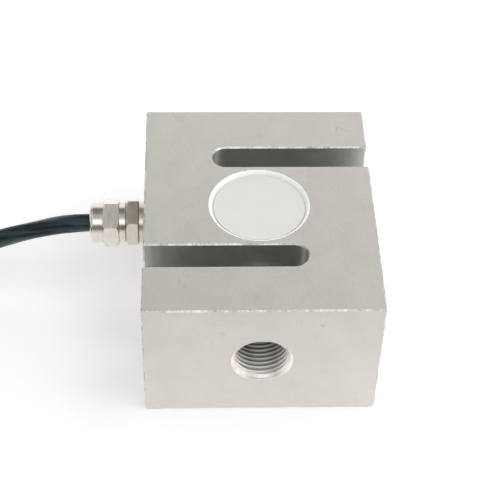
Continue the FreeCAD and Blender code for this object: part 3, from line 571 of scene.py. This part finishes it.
def lay_sealant(name, node, turned_over):
    """A ring of sealant between a cover and the wall of its recess."""
    bm = bmesh.new()
    chain = [bm.verts.new((radius * MM, 0, height * MM)) for radius, height in SEALANT_PROFILE]
    edges = [bm.edges.new(pair) for pair in zip(chain, chain[1:] + chain[:1])]
    bmesh.ops.spin(
        bm,
        geom=chain + edges,
        cent=(0, 0, 0),
        axis=(0, 0, 1),
        angle=2 * math.pi,
        steps=SEALANT_STEPS,
        use_merge=True,
    )
    for vert in bm.verts:
        if WAVY_ABOVE * MM < vert.co.z < WAVY_BELOW * MM:
            bearing = math.atan2(vert.co.y, vert.co.x)
            wave = sum(share * math.sin(crests * bearing + start) for crests, share, start in SEALANT_WAVES)
            vert.co.z += wave / 2 * SEALANT_WAVE * MM
    bmesh.ops.translate(bm, verts=bm.verts, vec=(0, 0, block_high.z - RECESS_DEPTH * MM))
    if turned_over:
        turn = Matrix.Rotation(math.pi, 3, "X")
        bmesh.ops.rotate(bm, verts=bm.verts, cent=(0, 0, middle_height), matrix=turn)
    return finish_piece(bm, name, [node], sharp_past=50)


front_sealant = lay_sealant("front_sealant", "front_seal_bead", False)
rear_sealant = lay_sealant("rear_sealant", "rear_seal_bead", True)
print("sealant in mm", [round(side / MM, 2) for side in front_sealant.dimensions])

# %% [markdown]
# ## Materials
# A material here is a small tree of nodes round one Principled shader. The helpers below add a node
# and feed its sockets: a number or a colour goes on the socket itself, and another node's output is
# linked to it, so that each finish reads as a short recipe. Every pattern is laid out in object
# coordinates and sized in millimetres, so it has the same scale on every piece.

# %% Helpers for nodes


def feed(material, socket, amount):
    """Links a node's output to a socket, or sets the socket to a number, a vector or a colour."""
    if isinstance(amount, bpy.types.NodeSocket):
        material.node_tree.links.new(amount, socket)
    elif socket.type == "RGBA":
        socket.default_value = (*amount, 1)
    else:
        socket.default_value = amount


def add_node(material, kind, **sockets):
    """A node of a kind, with its sockets fed by name, where _ stands for a space."""
    node = material.node_tree.nodes.new(kind)
    for name, amount in sockets.items():
        feed(material, node.inputs[name.replace("_", " ")], amount)
    return node


def shader_of(material):
    """A material's Principled shader."""
    return material.node_tree.nodes["Principled BSDF"]


def set_shader(material, **sockets):
    """Feeds the shader's sockets by name."""
    for name, amount in sockets.items():
        feed(material, shader_of(material).inputs[name.replace("_", " ")], amount)


def new_material(name, **sockets):
    """A material with one Principled shader, its sockets fed by name."""
    material = bpy.data.materials.new(name)
    material.use_nodes = True
    set_shader(material, **sockets)
    return material


def wear(material, *pieces):
    """Gives pieces one material."""
    for piece in pieces:
        piece.data.materials.clear()
        piece.data.materials.append(material)
    print(material.name, "on", [piece.name for piece in pieces])


# %% Helpers for patterns


def reckon(material, operation, first, second=None):
    """A Math node's result, from numbers or other nodes' outputs."""
    node = add_node(material, "ShaderNodeMath")
    node.operation = operation
    feed(material, node.inputs[0], first)
    if second is not None:
        feed(material, node.inputs[1], second)
    return node.outputs[0]


def length_of(material, vector):
    """The length of a vector."""
    node = add_node(material, "ShaderNodeVectorMath", Vector=vector)
    node.operation = "LENGTH"
    return node.outputs["Value"]


def place_of(material, stretch=(1, 1, 1), **turned):
    """Object coordinates; along an axis with a small number here a pattern is drawn out."""
    coordinates = add_node(material, "ShaderNodeTexCoord")
    mapping = add_node(
        material, "ShaderNodeMapping", Vector=coordinates.outputs["Object"], Scale=stretch, **turned
    )
    return mapping.outputs["Vector"]


def parts_of(material, vector):
    """A vector's X, Y and Z."""
    return add_node(material, "ShaderNodeSeparateXYZ", Vector=vector).outputs


def noise(material, vector, size_mm, detail=2.0, roughness=0.5):
    """Noise whose lumps are about a given size in millimetres."""
    texture = add_node(
        material,
        "ShaderNodeTexNoise",
        Vector=vector,
        Scale=1 / (size_mm * MM),
        Detail=detail,
        Roughness=roughness,
    )
    return texture.outputs["Fac"]


def between(material, factor, low, high, start=0.3, end=0.7):
    """Spreads a factor from start to end over a range."""
    spread = add_node(
        material, "ShaderNodeMapRange", Value=factor, From_Min=start, From_Max=end, To_Min=low, To_Max=high
    )
    return spread.outputs["Result"]


LOW_COLOUR, HIGH_COLOUR, MIXED_COLOUR = 6, 7, 2


def blend(material, factor, low, high):
    """Mixes two colours, each a colour or another node's output, by a factor from 0 to 1."""
    mix = add_node(material, "ShaderNodeMix")
    mix.data_type = "RGBA"
    feed(material, mix.inputs["Factor"], factor)
    feed(material, mix.inputs[LOW_COLOUR], low)
    feed(material, mix.inputs[HIGH_COLOUR], high)
    return mix.outputs[MIXED_COLOUR]


def tint(material, factor, low, high):
    """Mixes two colours by a noise."""
    return blend(material, between(material, factor, 0, 1), low, high)


def bump(material, heights, depth_mm):
    """The surface's direction once it is raised by a height from 0 to 1 times a depth."""
    return add_node(material, "ShaderNodeBump", Height=heights, Distance=depth_mm * MM).outputs["Normal"]


# %% [markdown]
# ### Satin nickel
# The block is milled, blasted to an even satin and plated with nickel, which is a little warmer than
# chrome. From a step away it is one pale grey. Closer, it has a fine grain, faint clouds where the
# plating is thicker, a change of tone from pinkish to greenish that is almost too weak to name, and a
# few hair scratches and fingermarks from being handled. Each is a noise of its own size, laid over
# the last.

# %% Satin nickel
WARM = (0.582, 0.553, 0.514), (0.630, 0.599, 0.558)
COOL = (0.570, 0.557, 0.512), (0.617, 0.603, 0.559)
FINGERMARK = (0.54, 0.53, 0.50)
SPECK = (0.78, 0.758, 0.708)
SCRATCH = (0.36, 0.35, 0.32)
SCRATCH_STRETCH = (1, 0.3, 0.25)
SCRATCH_WIDTH = 0.0065


def scratches(material, place):
    """Thin curved scratches, as the lines where a noise passes its middle value, kept here and there."""
    wandering = noise(material, place_of(material, SCRATCH_STRETCH), size_mm=7, detail=0.5)
    off_middle = reckon(material, "ABSOLUTE", reckon(material, "SUBTRACT", wandering, 0.5))
    line = between(material, off_middle, low=0.55, high=0, start=0, end=SCRATCH_WIDTH)
    patches = noise(material, place, size_mm=9, detail=1)
    kept = between(material, patches, low=0, high=1, start=0.64, end=0.70)
    return reckon(material, "MULTIPLY", line, kept)


satin_nickel = new_material("satin_nickel", Metallic=1)
place = place_of(satin_nickel)
clouds = noise(satin_nickel, place, size_mm=9, detail=3)
tone = noise(satin_nickel, place, size_mm=32, detail=1)
grain = noise(satin_nickel, place, size_mm=0.45, detail=4, roughness=0.7)
smudges = noise(satin_nickel, place, size_mm=5, detail=1)
toned = tint(satin_nickel, tone, tint(satin_nickel, clouds, *WARM), tint(satin_nickel, clouds, *COOL))
touched = between(satin_nickel, smudges, low=0, high=0.6, start=0.62, end=0.75)
marked = blend(satin_nickel, touched, toned, FINGERMARK)
speckled = blend(satin_nickel, between(satin_nickel, grain, low=0, high=0.6), marked, SPECK)
set_shader(
    satin_nickel,
    Base_Color=blend(satin_nickel, scratches(satin_nickel, place), speckled, SCRATCH),
    Roughness=between(satin_nickel, grain, low=0.40, high=0.58),
    Normal=bump(satin_nickel, grain, depth_mm=0.03),
)
print("satin nickel nodes", len(satin_nickel.node_tree.nodes))

# %% [markdown]
# ### Milled, turned and threaded nickel, and nicked edges with painted highlights
# The same plating over four other surfaces. They differ in how dark they are, the slot walls and wells
# being a little darker than the outside, in how rough they are, and in the way their tool marks run:
# across the slot wall from top to bottom, and round the axis in a turned mouth or a thread. Drawing a
# noise out along the way the tool moved makes such marks. The broken edges have marks that run no way
# at all, and swing from dark to bright: the dark patches are nicks where knocks and hands have been,
# and the bright ones are a painted highlight along the edge.

# %% Tool-marked metals
STAIN_SIZE = 4


def tooled_metal(name, low, high, shine, stretch, mark_mm, depth_mm):
    """Metal with tool marks drawn out along the axes whose stretch is small."""
    material = new_material(name, Metallic=1)
    marks = noise(material, place_of(material, stretch), mark_mm, detail=3)
    stains = noise(material, place_of(material), STAIN_SIZE, detail=3)
    both = between(material, reckon(material, "ADD", marks, stains), low=0, high=1, start=0.7, end=1.3)
    set_shader(
        material,
        Base_Color=blend(material, both, low, high),
        Roughness=between(material, marks, *shine),
        Normal=bump(material, marks, depth_mm),
    )
    return material


ROUND_Y = (0.5, 1, 0.5)
# The slot walls and wells are coloured a little darker than the outside.
milled_nickel = tooled_metal(
    "milled_nickel", low=(0.50, 0.505, 0.475), high=(0.57, 0.575, 0.545),
    shine=(0.40, 0.55), stretch=(1, 1, 0.05), mark_mm=0.3, depth_mm=0.01,
)
turned_nickel = tooled_metal(
    "turned_nickel", low=(0.76, 0.705, 0.645), high=(1.0, 0.96, 0.915),
    shine=(0.36, 0.50), stretch=ROUND_Y, mark_mm=0.8, depth_mm=0.03,
)
thread_nickel_with_painted_light_and_shade = tooled_metal(
    "thread_nickel_with_painted_light_and_shade", low=(0.54, 0.525, 0.495), high=(0.64, 0.625, 0.59),
    shine=(0.38, 0.50), stretch=ROUND_Y, mark_mm=0.25, depth_mm=0.004,
)
# Bright patches on the broken edges are a painted highlight; the dark ones are nicks.
nicked_nickel_with_painted_highlights = tooled_metal(
    "nicked_nickel_with_painted_highlights", low=(0.27, 0.26, 0.24), high=(0.87, 0.85, 0.81),
    shine=(0.36, 0.50), stretch=(1, 1, 1), mark_mm=0.6, depth_mm=0.02,
)
block_nickels = (satin_nickel, milled_nickel, turned_nickel, thread_nickel_with_painted_light_and_shade, nicked_nickel_with_painted_highlights)
print("block's nickels", [material.name for material in block_nickels])

# %% [markdown]
# ### Painted light and shade in a thread
# A thread is painted brighter towards its mouth, a painted light, and darker in its roots, a painted
# shade that is darkest deep inside. How deep a point lies is its distance along Y, and how near a root it
# is comes from its distance from the axis. Both are worked out from object coordinates, so they follow
# the real crests.

# %% Paint light and shade into the thread
PAINTED_LIGHT_REACH = 11
PAST_CREST, BEFORE_ROOT = 0.25, 0.12
ROOT_SHADE_STRENGTH = 0.85
# The mouth's colour is a painted light, and the two root colours are a painted shade.
PAINTED_MOUTH_LIGHT = (0.99, 0.98, 0.96)
ROOT_SHADE_INSIDE, ROOT_SHADE_AT_MOUTH = (0.15, 0.14, 0.125), (0.80, 0.78, 0.75)


def paint_thread_light_and_shade(material, painted_light):
    """Paints light on a thread towards its mouth, and paints shade into its roots, darkest deep inside."""
    colour = shader_of(material).inputs["Base Color"].links[0].from_socket
    along = reckon(material, "ABSOLUTE", parts_of(material, place_of(material))["Y"])
    deepest, mouth = block_high.y - PAINTED_LIGHT_REACH * MM, block_high.y - MM
    near_mouth = between(material, along, low=0, high=1, start=deepest, end=mouth)
    with_painted_light = blend(material, near_mouth, colour, painted_light)
    from_axis = length_of(material, place_of(material, (1, 0, 1), Location=(0, 0, -middle_height)))
    start, end = (crest_radius + PAST_CREST) * MM, (root_radius - BEFORE_ROOT) * MM
    root_shade_share = between(material, from_axis, low=0, high=ROOT_SHADE_STRENGTH, start=start, end=end)
    # root holds the colour of the painted shade in the roots, darkest deep inside.
    root = blend(material, near_mouth, ROOT_SHADE_INSIDE, ROOT_SHADE_AT_MOUTH)
    set_shader(material, Base_Color=blend(material, root_shade_share, with_painted_light, root))


paint_thread_light_and_shade(thread_nickel_with_painted_light_and_shade, PAINTED_MOUTH_LIGHT)
block.data.materials.clear()
for material in block_nickels:
    block.data.materials.append(material)
block.data.polygons.foreach_set("material_index", block_finishes)
print("block wears", [material.name for material in block.data.materials])

# %% [markdown]
# ### Polished and brushed nickel
# The gland is turned from brass bar and plated bright. The nut is polished, and the body behind it is
# left brushed. The marks of both run round the gland's axis, which is X, so the noise is fine along X
# and drawn out along Y and Z.

# %% Polished and brushed nickel
ROUND_X = (1, 0.03, 0.03)
polished_nickel = tooled_metal(
    "polished_nickel", low=(0.60, 0.565, 0.50), high=(0.75, 0.715, 0.645),
    shine=(0.19, 0.30), stretch=ROUND_X, mark_mm=0.2, depth_mm=0.004,
)
brushed_nickel = tooled_metal(
    "brushed_nickel", low=(0.59, 0.55, 0.465), high=(0.72, 0.675, 0.585),
    shine=(0.27, 0.38), stretch=ROUND_X, mark_mm=0.2, depth_mm=0.004,
)
wear(polished_nickel, gland_nut)
wear(brushed_nickel, gland_body)

# %% [markdown]
# ### Plastics, rubber and sealant
# These are told apart by colour, by how sharp their gloss is, and by the size of their grain. One
# recipe serves them all: a colour that drifts a little, a gloss that drifts with it, and a fine
# uneven skin.

# %% One recipe for moulded finishes


def moulded(name, colour, drift, shine, grain_mm, depth_mm, drift_mm=6):
    """A finish that isn't metal, with its colour drifting by a share of itself."""
    material = new_material(name)
    place = place_of(material)
    drifting = noise(material, place, drift_mm, detail=3)
    grain = noise(material, place, grain_mm, detail=2)
    low = tuple(part * (1 - drift) for part in colour)
    high = tuple(min(1, part * (1 + drift)) for part in colour)
    set_shader(
        material,
        Base_Color=tint(material, drifting, low, high),
        Roughness=between(material, grain, *shine),
        Normal=bump(material, grain, depth_mm),
    )
    return material


# %% Sealant and label
white_sealant = moulded(
    "white_sealant", (0.99, 0.99, 0.975), drift=0.008, shine=(0.20, 0.32), grain_mm=1.2, depth_mm=0.02
)
set_shader(white_sealant, Specular_IOR_Level=1.0)
label_film = moulded(
    "label_film", (0.735, 0.735, 0.705), drift=0.018, shine=(0.34, 0.46),
    grain_mm=0.3, depth_mm=0.004, drift_mm=7,
)
wear(white_sealant, front_sealant, rear_sealant)
wear(label_film, label)

# %% Rubber, nylon, ceramic and enamel
black_rubber = moulded(
    "black_rubber", (0.016, 0.016, 0.017), drift=0.25, shine=(0.55, 0.70), grain_mm=0.25, depth_mm=0.01
)
grey_nylon = moulded(
    "grey_nylon", (0.42, 0.42, 0.40), drift=0.05, shine=(0.40, 0.55), grain_mm=0.3, depth_mm=0.008
)
black_nylon = moulded(
    "black_nylon", (0.018, 0.018, 0.019), drift=0.20, shine=(0.38, 0.52), grain_mm=0.25, depth_mm=0.008
)
shrink_sleeve = moulded(
    "shrink_sleeve", (0.014, 0.014, 0.015), drift=0.25, shine=(0.42, 0.60), grain_mm=0.8, depth_mm=0.02
)
ceramic = moulded(
    "resistor_ceramic", (0.05, 0.055, 0.07), drift=0.15, shine=(0.30, 0.45), grain_mm=0.1, depth_mm=0.004
)
copper_enamel = moulded(
    "copper_enamel", (0.42, 0.10, 0.035), drift=0.20, shine=(0.20, 0.32), grain_mm=0.2, depth_mm=0.003
)
wear(black_rubber, nodes["gland_seal"], nodes["gland_o_ring"])
wear(grey_nylon, nodes["gland_thrust_ring"])
wear(black_nylon, *ties)
wear(shrink_sleeve, nodes["tail_sleeve"])
wear(ceramic, nodes["zero_resistor"], nodes["span_resistor"])
wear(copper_enamel, nodes["bridge_wires"])

# %% The cores' insulation
CORE_COLOURS = {
    "red": (0.52, 0.022, 0.020),
    "black": (0.014, 0.014, 0.015),
    "green": (0.018, 0.23, 0.060),
    "white": (0.78, 0.78, 0.75),
}
for colour_name, colour in CORE_COLOURS.items():
    insulation = moulded(
        f"insulation_{colour_name}", colour, drift=0.10, shine=(0.32, 0.46),
        grain_mm=0.3, depth_mm=0.006, drift_mm=3,
    )
    wear(insulation, nodes[f"inner_core_{colour_name}"], nodes[f"tail_core_{colour_name}"])

# %% [markdown]
# ### The cable's vinyl
# The jacket is drawn over the twisted cores, which leaves it with soft streaks that run its whole
# length. Object coordinates can't follow the cable's bends, but the tube's own UV map does: its U runs
# along the cable and its V round it. Rolling V into a circle lets the noise meet itself without a
# seam, and stretching it far along U gives streaks in the gloss and as shallow ridges, and lighter
# streaks in the colour, which are a painted sheen.

# %% Cable vinyl
STREAK_LENGTH = 30
STREAKS_ROUND = 7
# The lighter of the two jacket colours is a painted sheen along the streaks.
VINYL_AND_PAINTED_SHEEN = (0.0020, 0.0055, 0.0065), (0.0230, 0.0400, 0.0430)
SCUFF = (0.030, 0.038, 0.040)
dark_vinyl_with_painted_sheen = new_material("dark_vinyl_with_painted_sheen", Specular_Tint=(0.74, 0.94, 1.0), Specular_IOR_Level=0.42)
uv = parts_of(dark_vinyl_with_painted_sheen, add_node(dark_vinyl_with_painted_sheen, "ShaderNodeTexCoord").outputs["UV"])
round_it = reckon(dark_vinyl_with_painted_sheen, "MULTIPLY", uv["Y"], 2 * math.pi)
reach = STREAKS_ROUND / (2 * math.pi)
rolled = add_node(
    dark_vinyl_with_painted_sheen,
    "ShaderNodeCombineXYZ",
    X=reckon(dark_vinyl_with_painted_sheen, "MULTIPLY", reckon(dark_vinyl_with_painted_sheen, "COSINE", round_it), reach),
    Y=reckon(dark_vinyl_with_painted_sheen, "MULTIPLY", reckon(dark_vinyl_with_painted_sheen, "SINE", round_it), reach),
    Z=reckon(dark_vinyl_with_painted_sheen, "MULTIPLY", uv["X"], CABLE_LENGTH / (STREAK_LENGTH * MM)),
)
# The rolled coordinates are already counted in streaks, so the noise's size is one of them.
streaks = noise(dark_vinyl_with_painted_sheen, rolled.outputs["Vector"], size_mm=1 / MM, detail=3, roughness=0.55)
scuffs = noise(dark_vinyl_with_painted_sheen, place_of(dark_vinyl_with_painted_sheen), size_mm=2.5, detail=4, roughness=0.6)
# Lighter bands in the jacket's colour: a painted sheen.
bands = between(dark_vinyl_with_painted_sheen, streaks, low=0, high=1, start=0.44, end=0.64)
rubbed = between(dark_vinyl_with_painted_sheen, scuffs, low=0, high=0.5, start=0.5, end=0.75)
set_shader(
    dark_vinyl_with_painted_sheen,
    Base_Color=blend(dark_vinyl_with_painted_sheen, rubbed, blend(dark_vinyl_with_painted_sheen, bands, *VINYL_AND_PAINTED_SHEEN), SCUFF),
    Roughness=between(dark_vinyl_with_painted_sheen, streaks, low=0.40, high=0.24),
    Normal=bump(dark_vinyl_with_painted_sheen, streaks, depth_mm=0.5),
)
entry_vinyl = moulded(
    "entry_vinyl", (0.0085, 0.0135, 0.0150), drift=0.35, shine=(0.40, 0.54), grain_mm=0.5, depth_mm=0.012
)
wear(dark_vinyl_with_painted_sheen, cable)
wear(entry_vinyl, nodes["cable_entry"])

# %% [markdown]
# ### Covers, tinned wire, board and gauges
# The cover discs are ground steel, so their marks run one way across. Tinned copper is a soft bright
# metal. The board is green laminate with the weave of its glass just showing. A strain gauge is amber
# film with a foil track folded many times, which a band pattern turned by 45 degrees stands for.

# %% Covers and tinned wire
cover_steel = tooled_metal(
    "cover_steel", low=(0.58, 0.575, 0.56), high=(0.66, 0.655, 0.64),
    shine=(0.30, 0.42), stretch=(0.03, 1, 1), mark_mm=0.15, depth_mm=0.005,
)
tinned_copper = tooled_metal(
    "tinned_copper", low=(0.62, 0.60, 0.57), high=(0.76, 0.74, 0.71),
    shine=(0.25, 0.45), stretch=(1, 1, 1), mark_mm=0.4, depth_mm=0.02,
)
wear(cover_steel, nodes["front_cover"], nodes["rear_cover"])
wear(tinned_copper, nodes["tail_drain_wire"], nodes["tail_tips"])

# %% Board and gauges
BAND_SHARE = 3.2
BAND_DEPTH = 0.004


def banded(name, turned, band_mm, low, high, shine):
    """A finish with straight bands of two colours, turned about Z by an angle in degrees."""
    material = new_material(name, Roughness=shine)
    bands = add_node(
        material,
        "ShaderNodeTexWave",
        Vector=place_of(material, Rotation=(0, 0, math.radians(turned))),
        Scale=1 / (BAND_SHARE * band_mm * MM),
        Distortion=0.0,
    ).outputs["Fac"]
    set_shader(material, Base_Color=tint(material, bands, low, high), Normal=bump(material, bands, BAND_DEPTH))
    return material


board_green = banded(
    "board_green", turned=0, band_mm=0.5, low=(0.010, 0.115, 0.040), high=(0.014, 0.150, 0.055), shine=0.35
)
gauge_foil = banded(
    "gauge_foil", turned=45, band_mm=0.4, low=(0.42, 0.20, 0.03), high=(0.55, 0.43, 0.26), shine=0.30
)
wear(board_green, nodes["terminal_board"])
wear(gauge_foil, *(nodes[f"strain_gauge_{number}"] for number in (1, 2, 3, 4)))

# %% [markdown]
# ## The table
# The cell lies on a white table in a light tent. The table takes the object's shadow as any surface
# would. It also glows a little by itself: evenly, as the tent's light comes back from it, and more
# towards the far side for what the camera sees, so that it fades to white. From the block's front
# backwards it glows for reflected rays only, a painted reflection, which the polished gland shows as
# its bright lower band.

# %% The table
TABLE_REACH = 3
EVEN_GLOW = 0.10

bm = bmesh.new()
bmesh.ops.create_grid(bm, x_segments=1, y_segments=1, size=TABLE_REACH)
mesh = bpy.data.meshes.new("floor")
bm.to_mesh(mesh)
bm.free()
floor = bpy.data.objects.new("floor", mesh)
bpy.context.scene.collection.objects.link(floor)

white_table_with_painted_reflection = new_material(
    "white_table_with_painted_reflection",
    Base_Color=(0.80, 0.80, 0.81),
    Roughness=0.9,
    Specular_IOR_Level=0.1,
    Emission_Color=(1, 1, 1),
)
rays = add_node(white_table_with_painted_reflection, "ShaderNodeLightPath")
place = place_of(white_table_with_painted_reflection)
# A painted reflection: for reflected rays only, the table glows from the block's front backwards.
painted_reflection_strength = between(white_table_with_painted_reflection, parts_of(white_table_with_painted_reflection, place)["Y"], low=0, high=0.44, start=-0.11, end=-0.03)
painted_reflection = reckon(white_table_with_painted_reflection, "MULTIPLY", rays.outputs["Is Glossy Ray"], painted_reflection_strength)
paler = between(white_table_with_painted_reflection, length_of(white_table_with_painted_reflection, place), low=0.22, high=1, start=0.4, end=1.3)
shown = reckon(white_table_with_painted_reflection, "MULTIPLY", rays.outputs["Is Camera Ray"], paler)
direct = reckon(white_table_with_painted_reflection, "ADD", shown, EVEN_GLOW)
set_shader(white_table_with_painted_reflection, Emission_Strength=reckon(white_table_with_painted_reflection, "ADD", direct, painted_reflection))
wear(white_table_with_painted_reflection, floor)

# %% [markdown]
# ## The room
# Past the table the camera sees white, but the light that comes from there is a dim grey: Light
# Path's Is Camera Ray chooses between the two. The lamps then decide where the bright sides are.

# %% The room
ROOM_GREY = (0.18, 0.18, 0.18)
world = bpy.data.worlds.new("world")
bpy.context.scene.world = world
world.use_nodes = True
lighting = world.node_tree.nodes["Background"]
feed(world, lighting.inputs["Color"], ROOM_GREY)
seen = add_node(world, "ShaderNodeBackground", Color=(1, 1, 1))
rays = add_node(world, "ShaderNodeLightPath")
choice = add_node(world, "ShaderNodeMixShader", Fac=rays.outputs["Is Camera Ray"])
feed(world, choice.inputs[1], lighting.outputs["Background"])
feed(world, choice.inputs[2], seen.outputs["Background"])
feed(world, world.node_tree.nodes["World Output"].inputs["Surface"], choice.outputs["Shader"])
print("room grey", ROOM_GREY[0])

# %% [markdown]
# ## The lamps
# A large soft lamp stands in front of the block and above it, with a weaker one overhead. The lamp on
# the right is the strongest, so the shadow falls to the left. Low pale walls close the room at both
# sides and behind. Polished metal shows that room as bands, so the lamps' places matter as much as
# their brightness: what the gland shows dark is the gap between the table and a lamp, and what it
# shows bright is the lamp.

# %% The lamps
POWER_PER_RADIANCE = 4
# Elevation and bearing in degrees; distance, width and height in metres; radiance.
LAMPS = {
    "front_box": (47, 0, 1.1, 1.2, 0.56, 1.25),
    "overhead": (77, 0, 1.3, 1.2, 0.6, 0.29),
    "left_box": (54, -90, 1.1, 0.9, 0.8, 0.50),
    "right_box": (54, 90, 1.1, 1.0, 0.9, 1.70),
    "left_wall": (13, -78, 1.2, 1.8, 0.55, 0.65),
    "right_wall": (13, 78, 1.2, 1.8, 0.55, 1.0),
    "back_wall": (22, 180, 1.4, 2.6, 1.25, 0.84),
}


def add_lamp(name, elevation, bearing, distance, width, height, radiance):
    """A soft rectangular lamp that faces the block, with the brightness of its face given."""
    lamp = bpy.data.lights.new(name, "AREA")
    lamp.shape = "RECTANGLE"
    lamp.size, lamp.size_y = width, height
    lamp.energy = radiance * width * height * POWER_PER_RADIANCE
    holder = bpy.data.objects.new(name, lamp)
    bpy.context.scene.collection.objects.link(holder)
    up, round_z = math.radians(elevation), math.radians(bearing)
    direction = Vector((math.sin(round_z) * math.cos(up), -math.cos(round_z) * math.cos(up), math.sin(up)))
    turn = direction.to_track_quat("Z", "Y").to_matrix().to_4x4()
    holder.matrix_world = Matrix.Translation(AIM + direction * distance) @ turn
    holder.visible_camera = False
    print(name, "in W", round(lamp.energy, 2))


for lamp_name, settings in LAMPS.items():
    add_lamp(lamp_name, *settings)
bpy.context.scene.view_settings.view_transform = "Standard"
